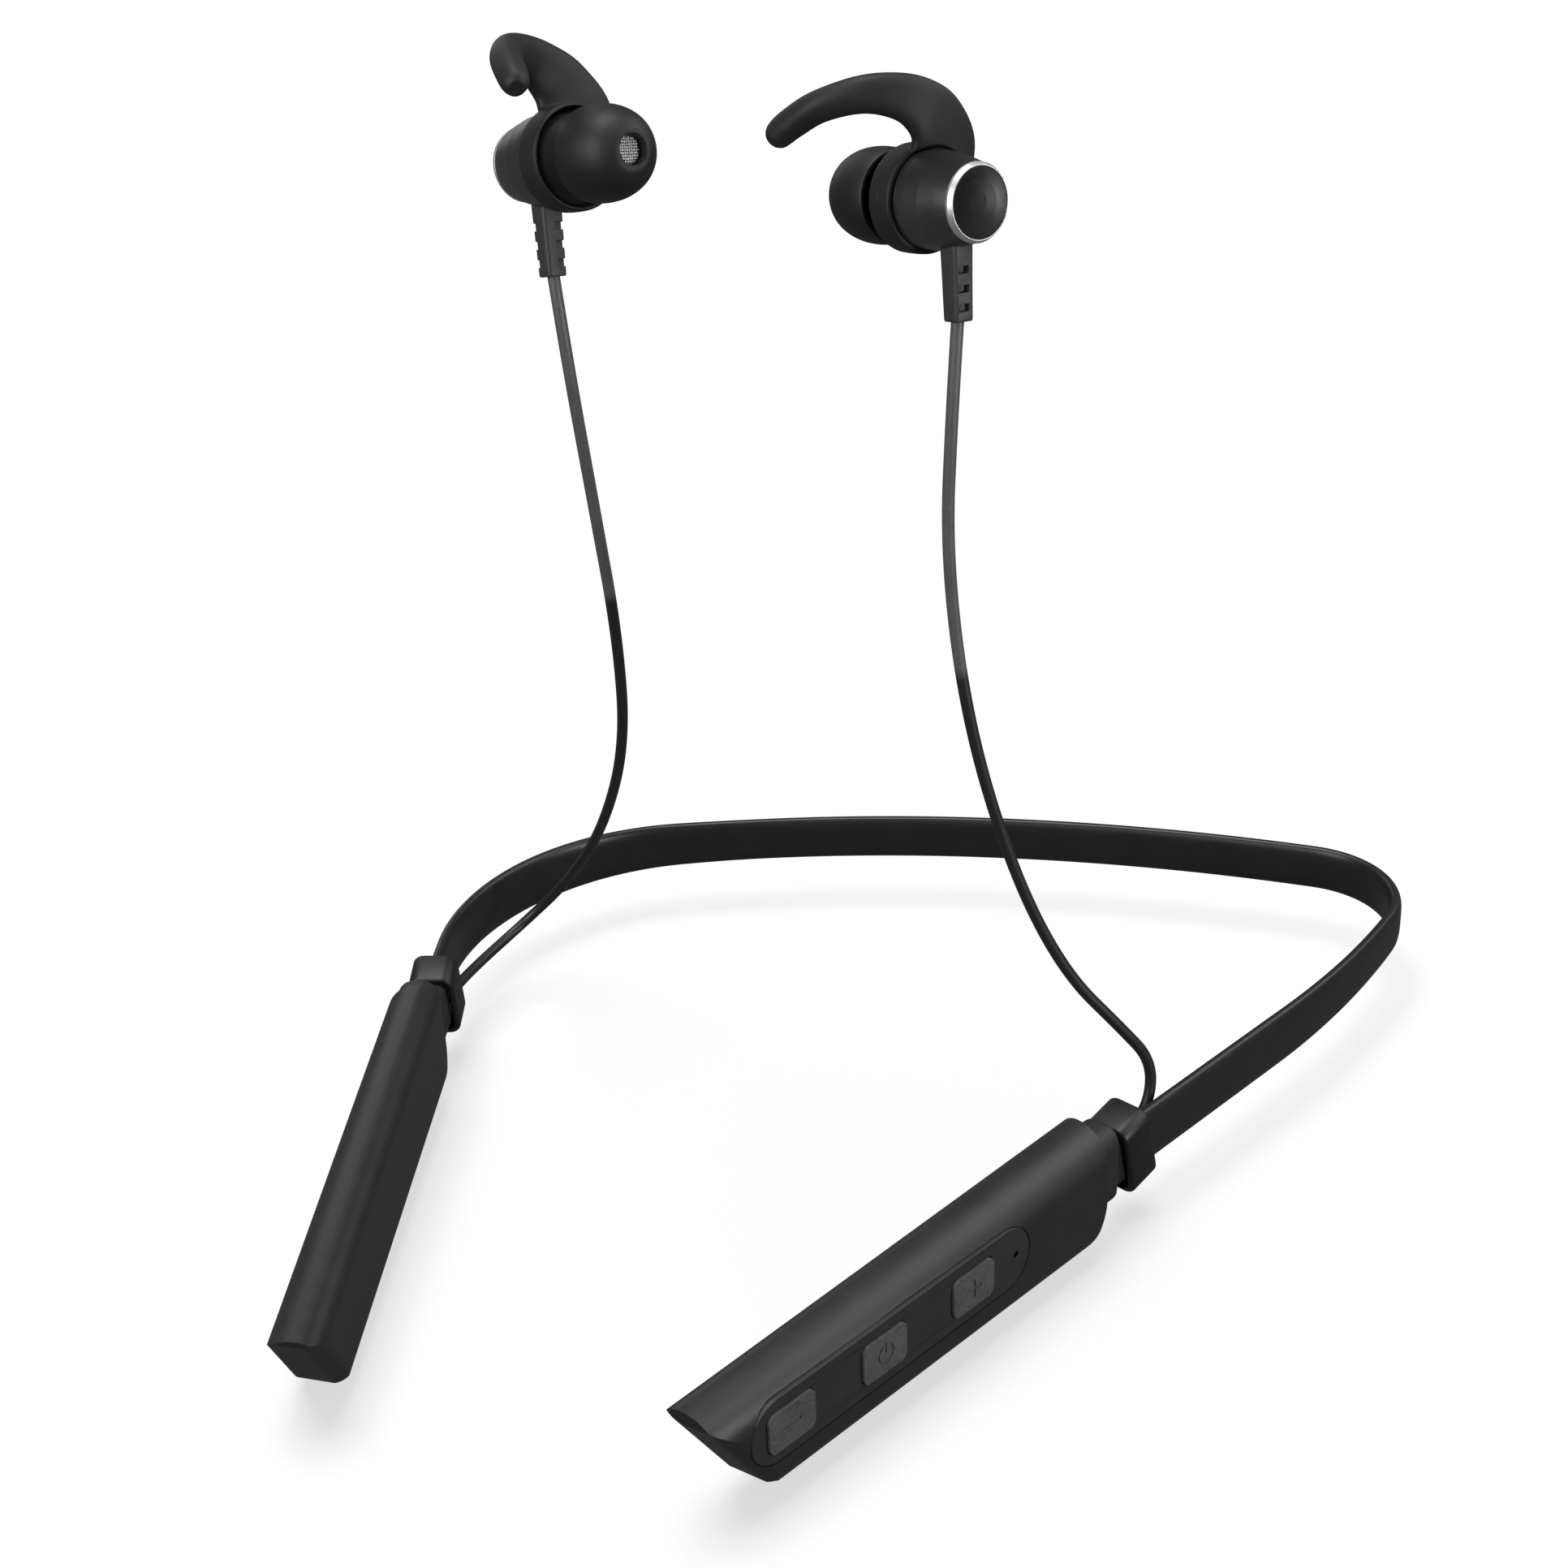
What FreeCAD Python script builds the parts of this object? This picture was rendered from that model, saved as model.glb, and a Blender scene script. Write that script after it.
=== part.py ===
"""Neckband earphones: a flexible neckband, a housing on each arm and an earbud on a cord from each.

Units are millimetres and +Z is up. The origin is on the band's inner face, behind the wearer's neck.
-Y is the way the wearer faces. "right" is the +X side of the object and "left" the -X side.
"""

import math
import os

import FreeCAD
import Part
from FreeCAD import Matrix, Vector

os.makedirs("parts", exist_ok=True)

RIGHT = 1
LEFT = -1
SIDE_NAMES = {RIGHT: "right", LEFT: "left"}

# ---- driving dimensions ------------------------------------------------------------------

# Neckband: a flat silicone strip that stands on edge, wound round a spring steel core.
BAND_THICK = 2.2
BAND_TALL = 8.0
BAND_SKEW = 16.5  # degrees that the strip's middle is turned, because the soft band lies skewed
BAND_ARCS = {  # (radius of the centreline, turn in degrees), from the middle outwards
    RIGHT: ((270.0, 13.0), (16.0, 101.0), (180.0, 12.5)),
    LEFT: ((232.0, 13.3), (43.0, 80.2)),
}
BAND_STRAIGHT = {RIGHT: 50.0, LEFT: 22.5}
FLEX_AT = {RIGHT: 76.0, LEFT: 83.0}  # distance along the band to the bend that flexes
KNUCKLE_GAP = 0.05
CORE_THICK = 0.5
CORE_TALL = 4.0
CORE_END = 3.0  # the core stops this far short of each end of the silicone

# Housing: x runs forward from the band's end, y outwards, z up from the band's mid height.
HOUSING_LONG = {RIGHT: 81.6, LEFT: 83.8}
HOUSING_PITCH = {RIGHT: 0.0, LEFT: 1.5}  # degrees that the nose points down
PITCH_X = -3.0
HOUSING_HALF_THICK = 4.4
HOUSING_HALF_TALL = 9.7
NOSE_RAKE = 12.6  # how far the top of the front end stands in front of its bottom
NOSE_CORNER = 7.0
NOSE_SIDE_R = 2.5  # rounding between the front end and the two sides
CHIN_SIDE_R = 3.6  # the same, where the front end curves into the underside
NOSE_TURN = 0.19  # how much further forward the front end is for each mm inwards
NOSE_BLUNT = {RIGHT: 1.2, LEFT: 0.6}  # how far the point at the nose's top is cut back
NOSE_DROP = 1.9  # how much lower the top is at the nose than at the rear
WALL = 1.2
SPLIT_Y = -2.6  # plane between the outer and the inner shell
CAP_THICK = 0.4
CAP_PIN_LONG = 1.2
CAP_PIN_R = 0.7
CAP_PIN_Z = (-3.0, 4.5)
PIN_GAP = 0.05

# Boot, sleeve and keeper ring, behind the housing.
STUB_LONG = 4.2
STUB_HALF_THICK = 3.3
STUB_Z = (-5.2, 8.0)
TONGUE_Z = (-1.2, 4.4)
TONGUE_LONG = 1.2
SLEEVE_LONG = 5.3
SLEEVE_Y = (-3.3, 1.7)
SLEEVE_Z = (-4.4, 4.6)
RING_WIDE = 6.0
RING_WALL = 1.0
RING_AT = {RIGHT: -10.2, LEFT: -11.8}
RING_TILT = 13.0
RING_GAP = 0.3

# Controls on the right housing.
PANEL_LONG = 55.2
PANEL_TALL = 10.4
PANEL_DEEP = 0.7
PANEL_X = 45.4
PANEL_Z = 0.6
PANEL_GAP = 0.12
BUTTON_X = {"minus_button": 65.8, "power_button": 48.2, "plus_button": 30.2}
BUTTON_LONG = 8.4
BUTTON_TALL = 6.2
BUTTON_PROUD = 0.4
BUTTON_BACK_Y = 2.5
BUTTON_FLANGE = 0.5
FLANGE_TOP = 1.8  # below the rounded inner top of the wall
BUTTON_GAP = 0.12
SYMBOL_DEEP = 0.15
SYMBOL_LINE = 0.4
MIC_X = 20.8
MIC_HOLE_R = 0.55

# Electronics.
BOARD_Y = (0.2, 1.0)
BOARD_X = (8.0, 68.0)
BOARD_HALF_TALL = 6.0
SCREW_X = (13.5, 57.2)
SCREW_R = 0.65
PORT_X = 24.0
PORT_Y = -1.1
PORT_LONG = 7.6
PORT_WIDE = 2.6
COVER_LONG = 10.2
COVER_WIDE = 4.0
COVER_DEEP = 0.8
COVER_GAP = 0.12
LED_X = 33.5
LED_R = 0.6

# Earbud: x is the bud's axis from the back disc to the tip, y forward, z up.
BUD_BACK = {RIGHT: Vector(32.1, -85.8, 139.1), LEFT: Vector(-34.1, -83.7, 139.2)}
BUD_HEADING = {RIGHT: 151.5, LEFT: -26.0}  # degrees from +X to the axis, about Z
BUD_RISE = {RIGHT: -7.0, LEFT: 13.0}  # degrees that the axis rises towards the tip
BUD_ROLL = {RIGHT: 4.0, LEFT: 7.5}  # degrees about the axis that the bud's foot swings forward
RIM_R = 5.0
DISC_R = 4.4
RIM_LONG = 1.0
SHELL_R = 6.25
SHELL_END = 9.2
SHELL_WALL = 0.8
SEAT_R = 6.0
SEAT_X = (9.6, 12.8)
NOZZLE_R = 2.6
NOZZLE_BORE = 1.9
NOZZLE_END = 22.0
COLLAR_GAP = 0.05
COLLAR_WALL = 0.9
TIP_R = 6.25
TIP_X = (16.4, 26.3)
RELIEF_X = 4.9
RELIEF_WIDE = 3.0
RELIEF_CORNER = 1.0
RELIEF_BOTTOM = -15.0
PIVOT_Z = -13.8  # where the cord's ball end sits in the strain relief

# Wing: stations from root to tip as (x from the collar's middle, y, z, width, thickness).
COLLAR_X = 11.2
WING_SIDES = 16
WING_STATIONS = (
    (-1.0, -2.5, 5.5, 11.0, 3.0),
    (-1.8, -1.1, 9.1, 9.0, 3.0),
    (-2.0, 1.2, 11.4, 7.2, 3.0),
    (-1.2, 4.2, 12.9, 5.6, 3.0),
    (1.0, 8.1, 13.3, 4.3, 2.9),
    (4.8, 11.6, 11.9, 3.3, 2.7),
    (8.0, 13.5, 9.6, 2.8, 2.5),
    (10.2, 14.5, 7.7, 2.3, 2.2),
    (10.8, 14.9, 7.0, 1.3, 1.2),
)

# Cords. Each route runs from the sleeve to a point under the earbud; both ends are worked out.
CORD_R = 0.85
CORD_EXIT_Y = -2.3
CORD_EXIT_Z = -0.5
CORD_ROUTE = {
    RIGHT: ((53.0, -77.6, -0.5), (54.6, -72.6, 2.8), (54.2, -71.6, 9.2), (50.6, -75.0, 15.8),
            (43.2, -79.8, 26.5), (36.6, -83.7, 43.5), (30.8, -86.9, 67.5), (27.8, -87.2, 92.0),
            (28.7, -87.0, 113.0)),
    LEFT: ((-64.1, -77.3, -1.2), (-64.9, -67.5, -1.8), (-63.3, -54.6, -0.6), (-54.2, -54.2, 9.0),
           (-42.8, -60.5, 24.5), (-33.3, -68.0, 45.0), (-28.6, -76.5, 68.0), (-26.2, -85.1, 92.0),
           (-25.4, -91.0, 115.4)),
}
CORD_LIMP_RADIUS = 3.0  # least bend radius, in cord diameters


# ---- helpers -----------------------------------------------------------------------------

def rounded_wire(corners, axes):
    """A closed wire through corners (u, v, radius), each rounded by its radius.

    axes gives the origin and the two directions of the plane that u and v are measured in.
    """
    origin, u_axis, v_axis = axes
    points = [origin + u_axis * u + v_axis * v for u, v, _ in corners]
    edges = []
    starts = []
    ends = []
    for i, (_, _, radius) in enumerate(corners):
        here = points[i]
        back = (points[i - 1] - here).normalize()
        ahead = (points[(i + 1) % len(points)] - here).normalize()
        half = back.getAngle(ahead) / 2
        reach = radius / math.tan(half)
        starts.append(here + back * reach)
        ends.append(here + ahead * reach)
        if radius > 0:
            middle = here + (back + ahead).normalize() * (radius / math.sin(half) - radius)
            edges.append((i, Part.Arc(starts[i], middle, ends[i]).toShape()))
    ordered = []
    arcs = dict(edges)
    for i in range(len(points)):
        if i in arcs:
            ordered.append(arcs[i])
        following = starts[(i + 1) % len(points)]
        if (following - ends[i]).Length > 1e-6:
            ordered.append(Part.LineSegment(ends[i], following).toShape())
    return Part.Wire(ordered)


def prism(corners, axes, along):
    return Part.Face(rounded_wire(corners, axes)).extrude(along)


def side_axes(y):
    """Plane of a side view: u forward, v up, at the given y."""
    return Vector(0, y, 0), Vector(1, 0, 0), Vector(0, 0, 1)


def plan_axes(x, z):
    """Plane of a plan view: u forward, v outwards, with its origin at the given x and z."""
    return Vector(x, 0, z), Vector(1, 0, 0), Vector(0, 1, 0)


def end_axes(x):
    """Plane of an end view: u outwards, v up, at the given x."""
    return Vector(x, 0, 0), Vector(0, 1, 0), Vector(0, 0, 1)


def rectangle(u_range, v_range, radius):
    (u0, u1), (v0, v1) = u_range, v_range
    return ((u0, v0, radius), (u1, v0, radius), (u1, v1, radius), (u0, v1, radius))


def box(x_range, y_range, z_range):
    (x0, x1), (y0, y1), (z0, z1) = x_range, y_range, z_range
    return Part.makeBox(x1 - x0, y1 - y0, z1 - z0, Vector(x0, y0, z0))


def pill(x_range, z_range, y_range, radius):
    """A plate in the side view with rounded corners, between two values of y."""
    plate = rectangle(x_range, z_range, radius)
    return prism(plate, side_axes(y_range[0]), Vector(0, y_range[1] - y_range[0], 0))


def revolve(profile):
    """A solid of revolution about x from a closed profile of (x, radius) points."""
    points = [Vector(x, 0, r) for x, r in profile]
    wire = Part.makePolygon(points + points[:1])
    return Part.Face(wire).revolve(Vector(), Vector(1, 0, 0), 360)


def rod_y(x, z, y_range, radius):
    return Part.makeCylinder(radius, y_range[1] - y_range[0], Vector(x, y_range[0], z), Vector(0, 1, 0))


def rod_z(x, y, z_range, radius):
    return Part.makeCylinder(radius, z_range[1] - z_range[0], Vector(x, y, z_range[0]))


def save(node, shape):
    """Write one node, after dropping seams that no face needs."""
    solids = shape.removeSplitter().Solids
    result = solids[0] if len(solids) == 1 else Part.makeCompound(solids)
    result.exportStep(f"parts/{node}.step")
    print(f"{node:22} solids {len(solids)}  volume {result.Volume:9.2f}  valid {result.isValid()}")
    return result


# ---- neckband ----------------------------------------------------------------------------

def heading_vector(angle):
    return Vector(math.cos(angle), math.sin(angle), 0)


def band_spans(side):
    """Spans of one half of the band: (length, radius, start point, start heading in radians).

    The left half is the mirror of a half that leaves the middle at the opposite skew. A straight
    span has radius None.
    """
    skew = math.radians(BAND_SKEW)
    middle = Vector(-math.sin(skew), math.cos(skew), 0) * (BAND_THICK / 2)
    heading = skew if side == RIGHT else math.pi + skew
    point = middle
    spans = []
    for radius, turn in BAND_ARCS[side]:
        angle = math.radians(turn)
        spans.append((radius * angle, radius, point, heading))
        centre = point + heading_vector(heading - side * math.pi / 2) * radius
        heading -= side * angle
        point = centre + heading_vector(heading + side * math.pi / 2) * radius
    spans.append((BAND_STRAIGHT[side], None, point, heading))
    return spans


def band_frame(side, distance):
    """Point, heading and outward direction of the centreline at a distance from the middle."""
    for length, radius, point, heading in band_spans(side):
        if distance <= length or radius is None:
            break
        distance -= length
    if radius is None:
        place = point + heading_vector(heading) * distance
        turned = heading
    else:
        turned = heading - side * distance / radius
        centre = point + heading_vector(heading - side * math.pi / 2) * radius
        place = centre + heading_vector(turned + side * math.pi / 2) * radius
    return place, heading_vector(turned), heading_vector(turned + side * math.pi / 2)


def band_length(side):
    return sum(length for length, *_ in band_spans(side))


def strip_edges(side, start, end, offset):
    """Edges of the centreline between two distances, moved outwards by offset."""
    edges = []
    passed = 0.0
    for length, radius, _, _ in band_spans(side):
        low = max(start, passed)
        high = min(end, passed + length)
        passed += length
        if high - low < 1e-6:
            continue
        stations = (low, (low + high) / 2, high)
        first, middle, last = [
            place + outward * offset for place, _, outward in (band_frame(side, s) for s in stations)
        ]
        segment = Part.LineSegment(first, last) if radius is None else Part.Arc(first, middle, last)
        edges.append(segment.toShape())
    return edges


def strip(side, start, end, thick, tall):
    """A strip of the band's shape between two distances from the middle."""
    outer = strip_edges(side, start, end, thick / 2)
    inner = strip_edges(side, start, end, -thick / 2)
    ends = [
        Part.LineSegment(outer[-1].Vertexes[-1].Point, inner[-1].Vertexes[-1].Point).toShape(),
        Part.LineSegment(outer[0].Vertexes[0].Point, inner[0].Vertexes[0].Point).toShape(),
    ]
    wire = Part.Wire(Part.__sortEdges__(outer + inner + ends))
    lowered = wire.translated(Vector(0, 0, -tall / 2))
    return Part.Face(lowered).extrude(Vector(0, 0, tall))


def knuckle(side, radius):
    place, _, _ = band_frame(side, FLEX_AT[side])
    return Part.makeCylinder(radius, BAND_TALL, place - Vector(0, 0, BAND_TALL / 2))


def build_band():
    """The middle of the band, its two arms and the spring steel core in each."""
    middle = strip(RIGHT, 0, FLEX_AT[RIGHT], BAND_THICK, BAND_TALL)
    middle = middle.fuse(strip(LEFT, 0, FLEX_AT[LEFT], BAND_THICK, BAND_TALL))
    core = strip(RIGHT, 0, FLEX_AT[RIGHT] - CORE_END, CORE_THICK, CORE_TALL)
    core = core.fuse(strip(LEFT, 0, FLEX_AT[LEFT] - CORE_END, CORE_THICK, CORE_TALL))
    for side in (RIGHT, LEFT):
        middle = middle.cut(knuckle(side, BAND_THICK / 2 + KNUCKLE_GAP))
    save("band_middle", middle.cut(core))
    save("middle_core", core)
    arms = {}
    for side, name in SIDE_NAMES.items():
        end = band_length(side)
        arm = strip(side, FLEX_AT[side], end, BAND_THICK, BAND_TALL).fuse(knuckle(side, BAND_THICK / 2))
        arm_core = strip(side, FLEX_AT[side] + CORE_END, end - CORE_END, CORE_THICK, CORE_TALL)
        arms[side] = arm
        save(f"{name}_band", arm.cut(arm_core))
        save(f"{name}_core", arm_core)
    return arms


def arm_point(side, x, y, z):
    """A point of the housing's own axes, in the object's."""
    place, forward, outward = band_frame(side, band_length(side))
    pitch = math.radians(HOUSING_PITCH[side])
    along = PITCH_X + (x - PITCH_X) * math.cos(pitch) + z * math.sin(pitch)
    high = z * math.cos(pitch) - (x - PITCH_X) * math.sin(pitch)
    return place + forward * along + outward * y + Vector(0, 0, high)


def place_on_arm(side, shape):
    """Move a shape from the housing's own axes to its arm, mirrored on the left."""
    place, forward, outward = band_frame(side, band_length(side))
    moved = shape if side == RIGHT else shape.mirror(Vector(), Vector(0, 1, 0))
    moved.rotate(Vector(PITCH_X, 0, 0), Vector(0, 1, 0), HOUSING_PITCH[side])
    across = outward * side
    turn = Matrix(forward.x, across.x, 0, place.x, forward.y, across.y, 0, place.y,
                  0, 0, 1, place.z, 0, 0, 0, 1)
    return moved.transformed(turn)


# ---- housing -----------------------------------------------------------------------------

def nose_normal():
    """Outward normal of the plane of the front end, not of unit length."""
    return Vector(1, NOSE_TURN, -NOSE_RAKE / (2 * HOUSING_HALF_TALL))


def leaning_view(x, z, lean, half, radius):
    """Plan view with rounded front corners, drawn out upwards at a lean, its front crossing x at height z."""
    reach = 30
    rear = -150
    plan = (
        (rear, -half, 0),
        (x + NOSE_TURN * half, -half, radius),
        (x - NOSE_TURN * half, half, radius),
        (rear, half, 0),
    )
    return prism(plan, plan_axes(-lean * reach, z - reach), Vector(2 * lean * reach, 0, 2 * reach))


def housing_body(side, inset):
    """The housing's outer form, moved inwards by inset: two side views crossed with two end views.

    Two plan views that lean with the front end and with its lower corner round the edges beside them.

    The second side view is drawn out at a slant, because the front end is turned outwards. One end
    view runs level and rounds the underside; the other falls towards the nose and rounds the top.
    """
    top = HOUSING_HALF_TALL - inset
    half = HOUSING_HALF_THICK - inset
    above = HOUSING_HALF_TALL + 1
    rear_view = (
        (inset, above, 0),
        (inset, -top, 8.0 - inset),
        (HOUSING_LONG[side] + 9, -top, 0),
        (HOUSING_LONG[side] + 9, above, 0),
    )
    width = 2 * half + 2
    across = Vector(-NOSE_TURN * width, width, 0)
    shift = NOSE_TURN * width / 2
    rake = NOSE_RAKE / (2 * HOUSING_HALF_TALL)
    front = HOUSING_LONG[side] - inset * nose_normal().Length + shift
    drop = NOSE_DROP / HOUSING_LONG[side]
    nose_top = HOUSING_HALF_TALL - NOSE_DROP - inset
    nose_x = front - rake * (HOUSING_HALF_TALL - nose_top)
    blunt = NOSE_BLUNT[side]
    front_view = (
        (-width, above, 0),
        (-width, -top, 0),
        (front - rake * (HOUSING_HALF_TALL + top), -top, NOSE_CORNER - inset),
        (nose_x - blunt, nose_top - blunt / rake, 0),
        (nose_x - blunt, above, 0),
    )
    long = HOUSING_LONG[side] + 10
    rear_top = nose_top + drop * (nose_x + 1)
    under = ((-half, -top, 4.0 - inset), (half, -top, 3.4 - inset), (half, above, 0), (-half, above, 0))
    over = ((-half, -above - 4, 0), (half, -above - 4, 0), (half, rear_top, 5.6 - inset),
            (-half, rear_top, 3.1 - inset))
    form = prism(under, end_axes(-1), Vector(long, 0, 0))
    form = form.common(prism(over, end_axes(-1), Vector(long, 0, -drop * long)))
    form = form.common(prism(rear_view, side_axes(-width / 2), Vector(0, width, 0)))
    level_front = front - shift - rake * HOUSING_HALF_TALL
    form = form.common(leaning_view(level_front, 0, rake, half, NOSE_SIDE_R - inset))
    slope = math.atan2(1, rake) / 2
    reach = (NOSE_CORNER - inset) * (1 / math.cos(slope) - 1)
    chin_x = level_front - rake * top - reach * math.sin(slope)
    chin_z = reach * math.cos(slope) - top
    form = form.common(leaning_view(chin_x, chin_z, 1 / math.tan(slope), half, CHIN_SIDE_R - inset))
    return form.common(prism(front_view, side_axes(-width / 2), across))


def nose_slab(side, near, far):
    """Space between two planes parallel to the front end, at depths behind it."""
    slab = box((-far, -near), (-40, 40), (-40, 40))
    forward = Vector(1, 0, 0)
    normal = nose_normal()
    slab.rotate(Vector(), forward.cross(normal), math.degrees(forward.getAngle(normal)))
    return slab.translated(Vector(HOUSING_LONG[side] - NOSE_RAKE / 2, 0, 0))


def build_boot(side, band):
    """Boot on the end of the band: a stub in the housing's mouth, then a thinner sleeve."""
    half = STUB_HALF_THICK
    mouth = rectangle((-half, half), STUB_Z, 2.6)
    stub = prism(mouth, end_axes(-STUB_LONG), Vector(STUB_LONG + WALL, 0, 0))
    inner = rectangle((-half + 0.6, half - 0.6), TONGUE_Z, 1.0)
    tongue = prism(inner, end_axes(WALL), Vector(TONGUE_LONG, 0, 0))
    sleeve = prism(rectangle(SLEEVE_Y, SLEEVE_Z, 1.3), end_axes(-STUB_LONG - SLEEVE_LONG),
                   Vector(SLEEVE_LONG, 0, 0))
    boot = place_on_arm(side, stub.fuse([tongue, sleeve])).cut(band)
    save(f"{SIDE_NAMES[side]}_boot", boot)


def boot_mouth():
    """Hole for the boot in the rear wall of the housing."""
    half = STUB_HALF_THICK
    return prism(rectangle((-half, half), STUB_Z, 2.6), end_axes(-1), Vector(1 + WALL + 0.5, 0, 0))


def build_keeper_ring(side):
    """Loose rubber ring round the sleeve and the cord, tilted as it hangs."""
    tilt = math.radians(RING_TILT)
    tall = SLEEVE_Z[1] - SLEEVE_Z[0]
    hole_tall = (tall + RING_WIDE * math.sin(tilt)) / math.cos(tilt) + RING_GAP
    hole_y = (SLEEVE_Y[0] - RING_GAP, SLEEVE_Y[1] + RING_GAP)
    hole = rectangle(hole_y, (-hole_tall / 2, hole_tall / 2), 1.6)
    rim_z = hole_tall / 2 + RING_WALL
    rim = rectangle((hole_y[0] - RING_WALL, hole_y[1] + RING_WALL), (-rim_z, rim_z), 2.8)
    along = Vector(RING_WIDE, 0, 0)
    ring = prism(rim, end_axes(-RING_WIDE / 2), along).cut(prism(hole, end_axes(-RING_WIDE / 2), along))
    ring.rotate(Vector(), Vector(0, 1, 0), RING_TILT)
    ring.translate(Vector(RING_AT[side], 0, (SLEEVE_Z[0] + SLEEVE_Z[1]) / 2))
    save(f"{SIDE_NAMES[side]}_keeper_ring", place_on_arm(side, ring))


def panel_plate(grow, y_range):
    """The oblong of the control panel, grown on every side by grow."""
    half_long = PANEL_LONG / 2 + grow
    half_tall = PANEL_TALL / 2 + grow
    x_range = (PANEL_X - half_long, PANEL_X + half_long)
    return pill(x_range, (PANEL_Z - half_tall, PANEL_Z + half_tall), y_range, half_tall - 0.01)


def button_plate(x, grow, y_range):
    half_long = BUTTON_LONG / 2 + grow
    half_tall = BUTTON_TALL / 2 + grow
    x_range = (x - half_long, x + half_long)
    return pill(x_range, (PANEL_Z - half_tall, PANEL_Z + half_tall), y_range, 1.2 + grow)


def control_holes():
    """Holes through the outer wall and the panel for the buttons and the microphone."""
    y_range = (0, HOUSING_HALF_THICK + 1)
    holes = [button_plate(x, BUTTON_GAP, y_range) for x in BUTTON_X.values()]
    holes.append(rod_y(MIC_X, PANEL_Z, y_range, MIC_HOLE_R))
    return holes


def port_opening():
    """Hole for the charging port and the shallow seat of its cover, in the bottom of the housing."""
    bottom = -HOUSING_HALF_TALL
    half_long = PORT_LONG / 2 + 0.1
    half_wide = PORT_WIDE / 2 + 0.1
    hole = box((PORT_X - half_long, PORT_X + half_long), (PORT_Y - half_wide, PORT_Y + half_wide),
               (bottom - 1, bottom + WALL + 1))
    half_long = COVER_LONG / 2 + COVER_GAP
    half_wide = COVER_WIDE / 2 + COVER_GAP
    seat = box((PORT_X - half_long, PORT_X + half_long), (PORT_Y - half_wide, PORT_Y + half_wide),
               (bottom - 1, bottom + COVER_DEEP + COVER_GAP))
    return hole.fuse(seat)


def screw_bosses():
    """Posts inside the outer wall that the circuit board is screwed to."""
    posts = []
    for x in SCREW_X:
        y_range = (BOARD_Y[1], HOUSING_HALF_THICK - WALL + 0.1)
        posts.append(rod_y(x, PANEL_Z, y_range, 1.4).cut(rod_y(x, PANEL_Z, y_range, SCREW_R)))
    return posts


def cap_pins(side, radius):
    """Pins that hold the front cap in the outer shell's front wall."""
    depth = nose_slab(side, CAP_THICK, CAP_THICK + CAP_PIN_LONG)
    start = HOUSING_LONG[side] - 2 * NOSE_RAKE
    pins = [Part.makeCylinder(radius, 30, Vector(start, 0, z), Vector(1, 0, 0)) for z in CAP_PIN_Z]
    return [pin.common(depth) for pin in pins]


def build_housing(side):
    """Outer shell, inner shell and front cap of one housing."""
    name = SIDE_NAMES[side]
    body = housing_body(side, 0)
    front = nose_slab(side, -20, CAP_THICK)
    walls = body.cut(housing_body(side, WALL)).cut(boot_mouth())
    walls = walls.cut([front] + cap_pins(side, CAP_PIN_R + PIN_GAP))
    cap = body.common(front).fuse(cap_pins(side, CAP_PIN_R))
    outer = walls.common(box((-10, 100), (SPLIT_Y, 20), (-20, 20)))
    inner = walls.common(box((-10, 100), (-20, SPLIT_Y), (-20, 20)))
    if side == RIGHT:
        seat = panel_plate(0, (HOUSING_HALF_THICK - PANEL_DEEP, HOUSING_HALF_THICK + 1))
        led_hole = rod_z(LED_X, PORT_Y, (-HOUSING_HALF_TALL - 1, 1 - HOUSING_HALF_TALL + WALL), LED_R)
        outer = outer.fuse(screw_bosses()).cut(control_holes() + [seat, port_opening(), led_hole])
        inner = inner.cut(port_opening())
    save(f"{name}_outer_shell", place_on_arm(side, outer))
    save(f"{name}_inner_shell", place_on_arm(side, inner))
    save(f"{name}_end_cap", place_on_arm(side, cap))


def symbol_cutters(node):
    """Shallow grooves of a button's generic sign, in its outer face."""
    x = BUTTON_X[node]
    face = HOUSING_HALF_THICK + BUTTON_PROUD
    y_range = (face - SYMBOL_DEEP, face + 1)
    half = SYMBOL_LINE / 2

    def bar(half_long, half_tall):
        return box((x - half_long, x + half_long), y_range, (PANEL_Z - half_tall, PANEL_Z + half_tall))

    if node == "minus_button":
        return [bar(1.5, half)]
    if node == "plus_button":
        return [bar(1.5, half), bar(half, 1.5)]
    radius = 1.4
    ring = rod_y(x, PANEL_Z, y_range, radius + half).cut(rod_y(x, PANEL_Z, y_range, radius - half))
    gap = box((x - 0.6, x + 0.6), y_range, (PANEL_Z + 0.6, PANEL_Z + 3))
    stem = box((x - half, x + half), y_range, (PANEL_Z + 0.2, PANEL_Z + 1.8))
    return [ring.cut(gap), stem]


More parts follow.
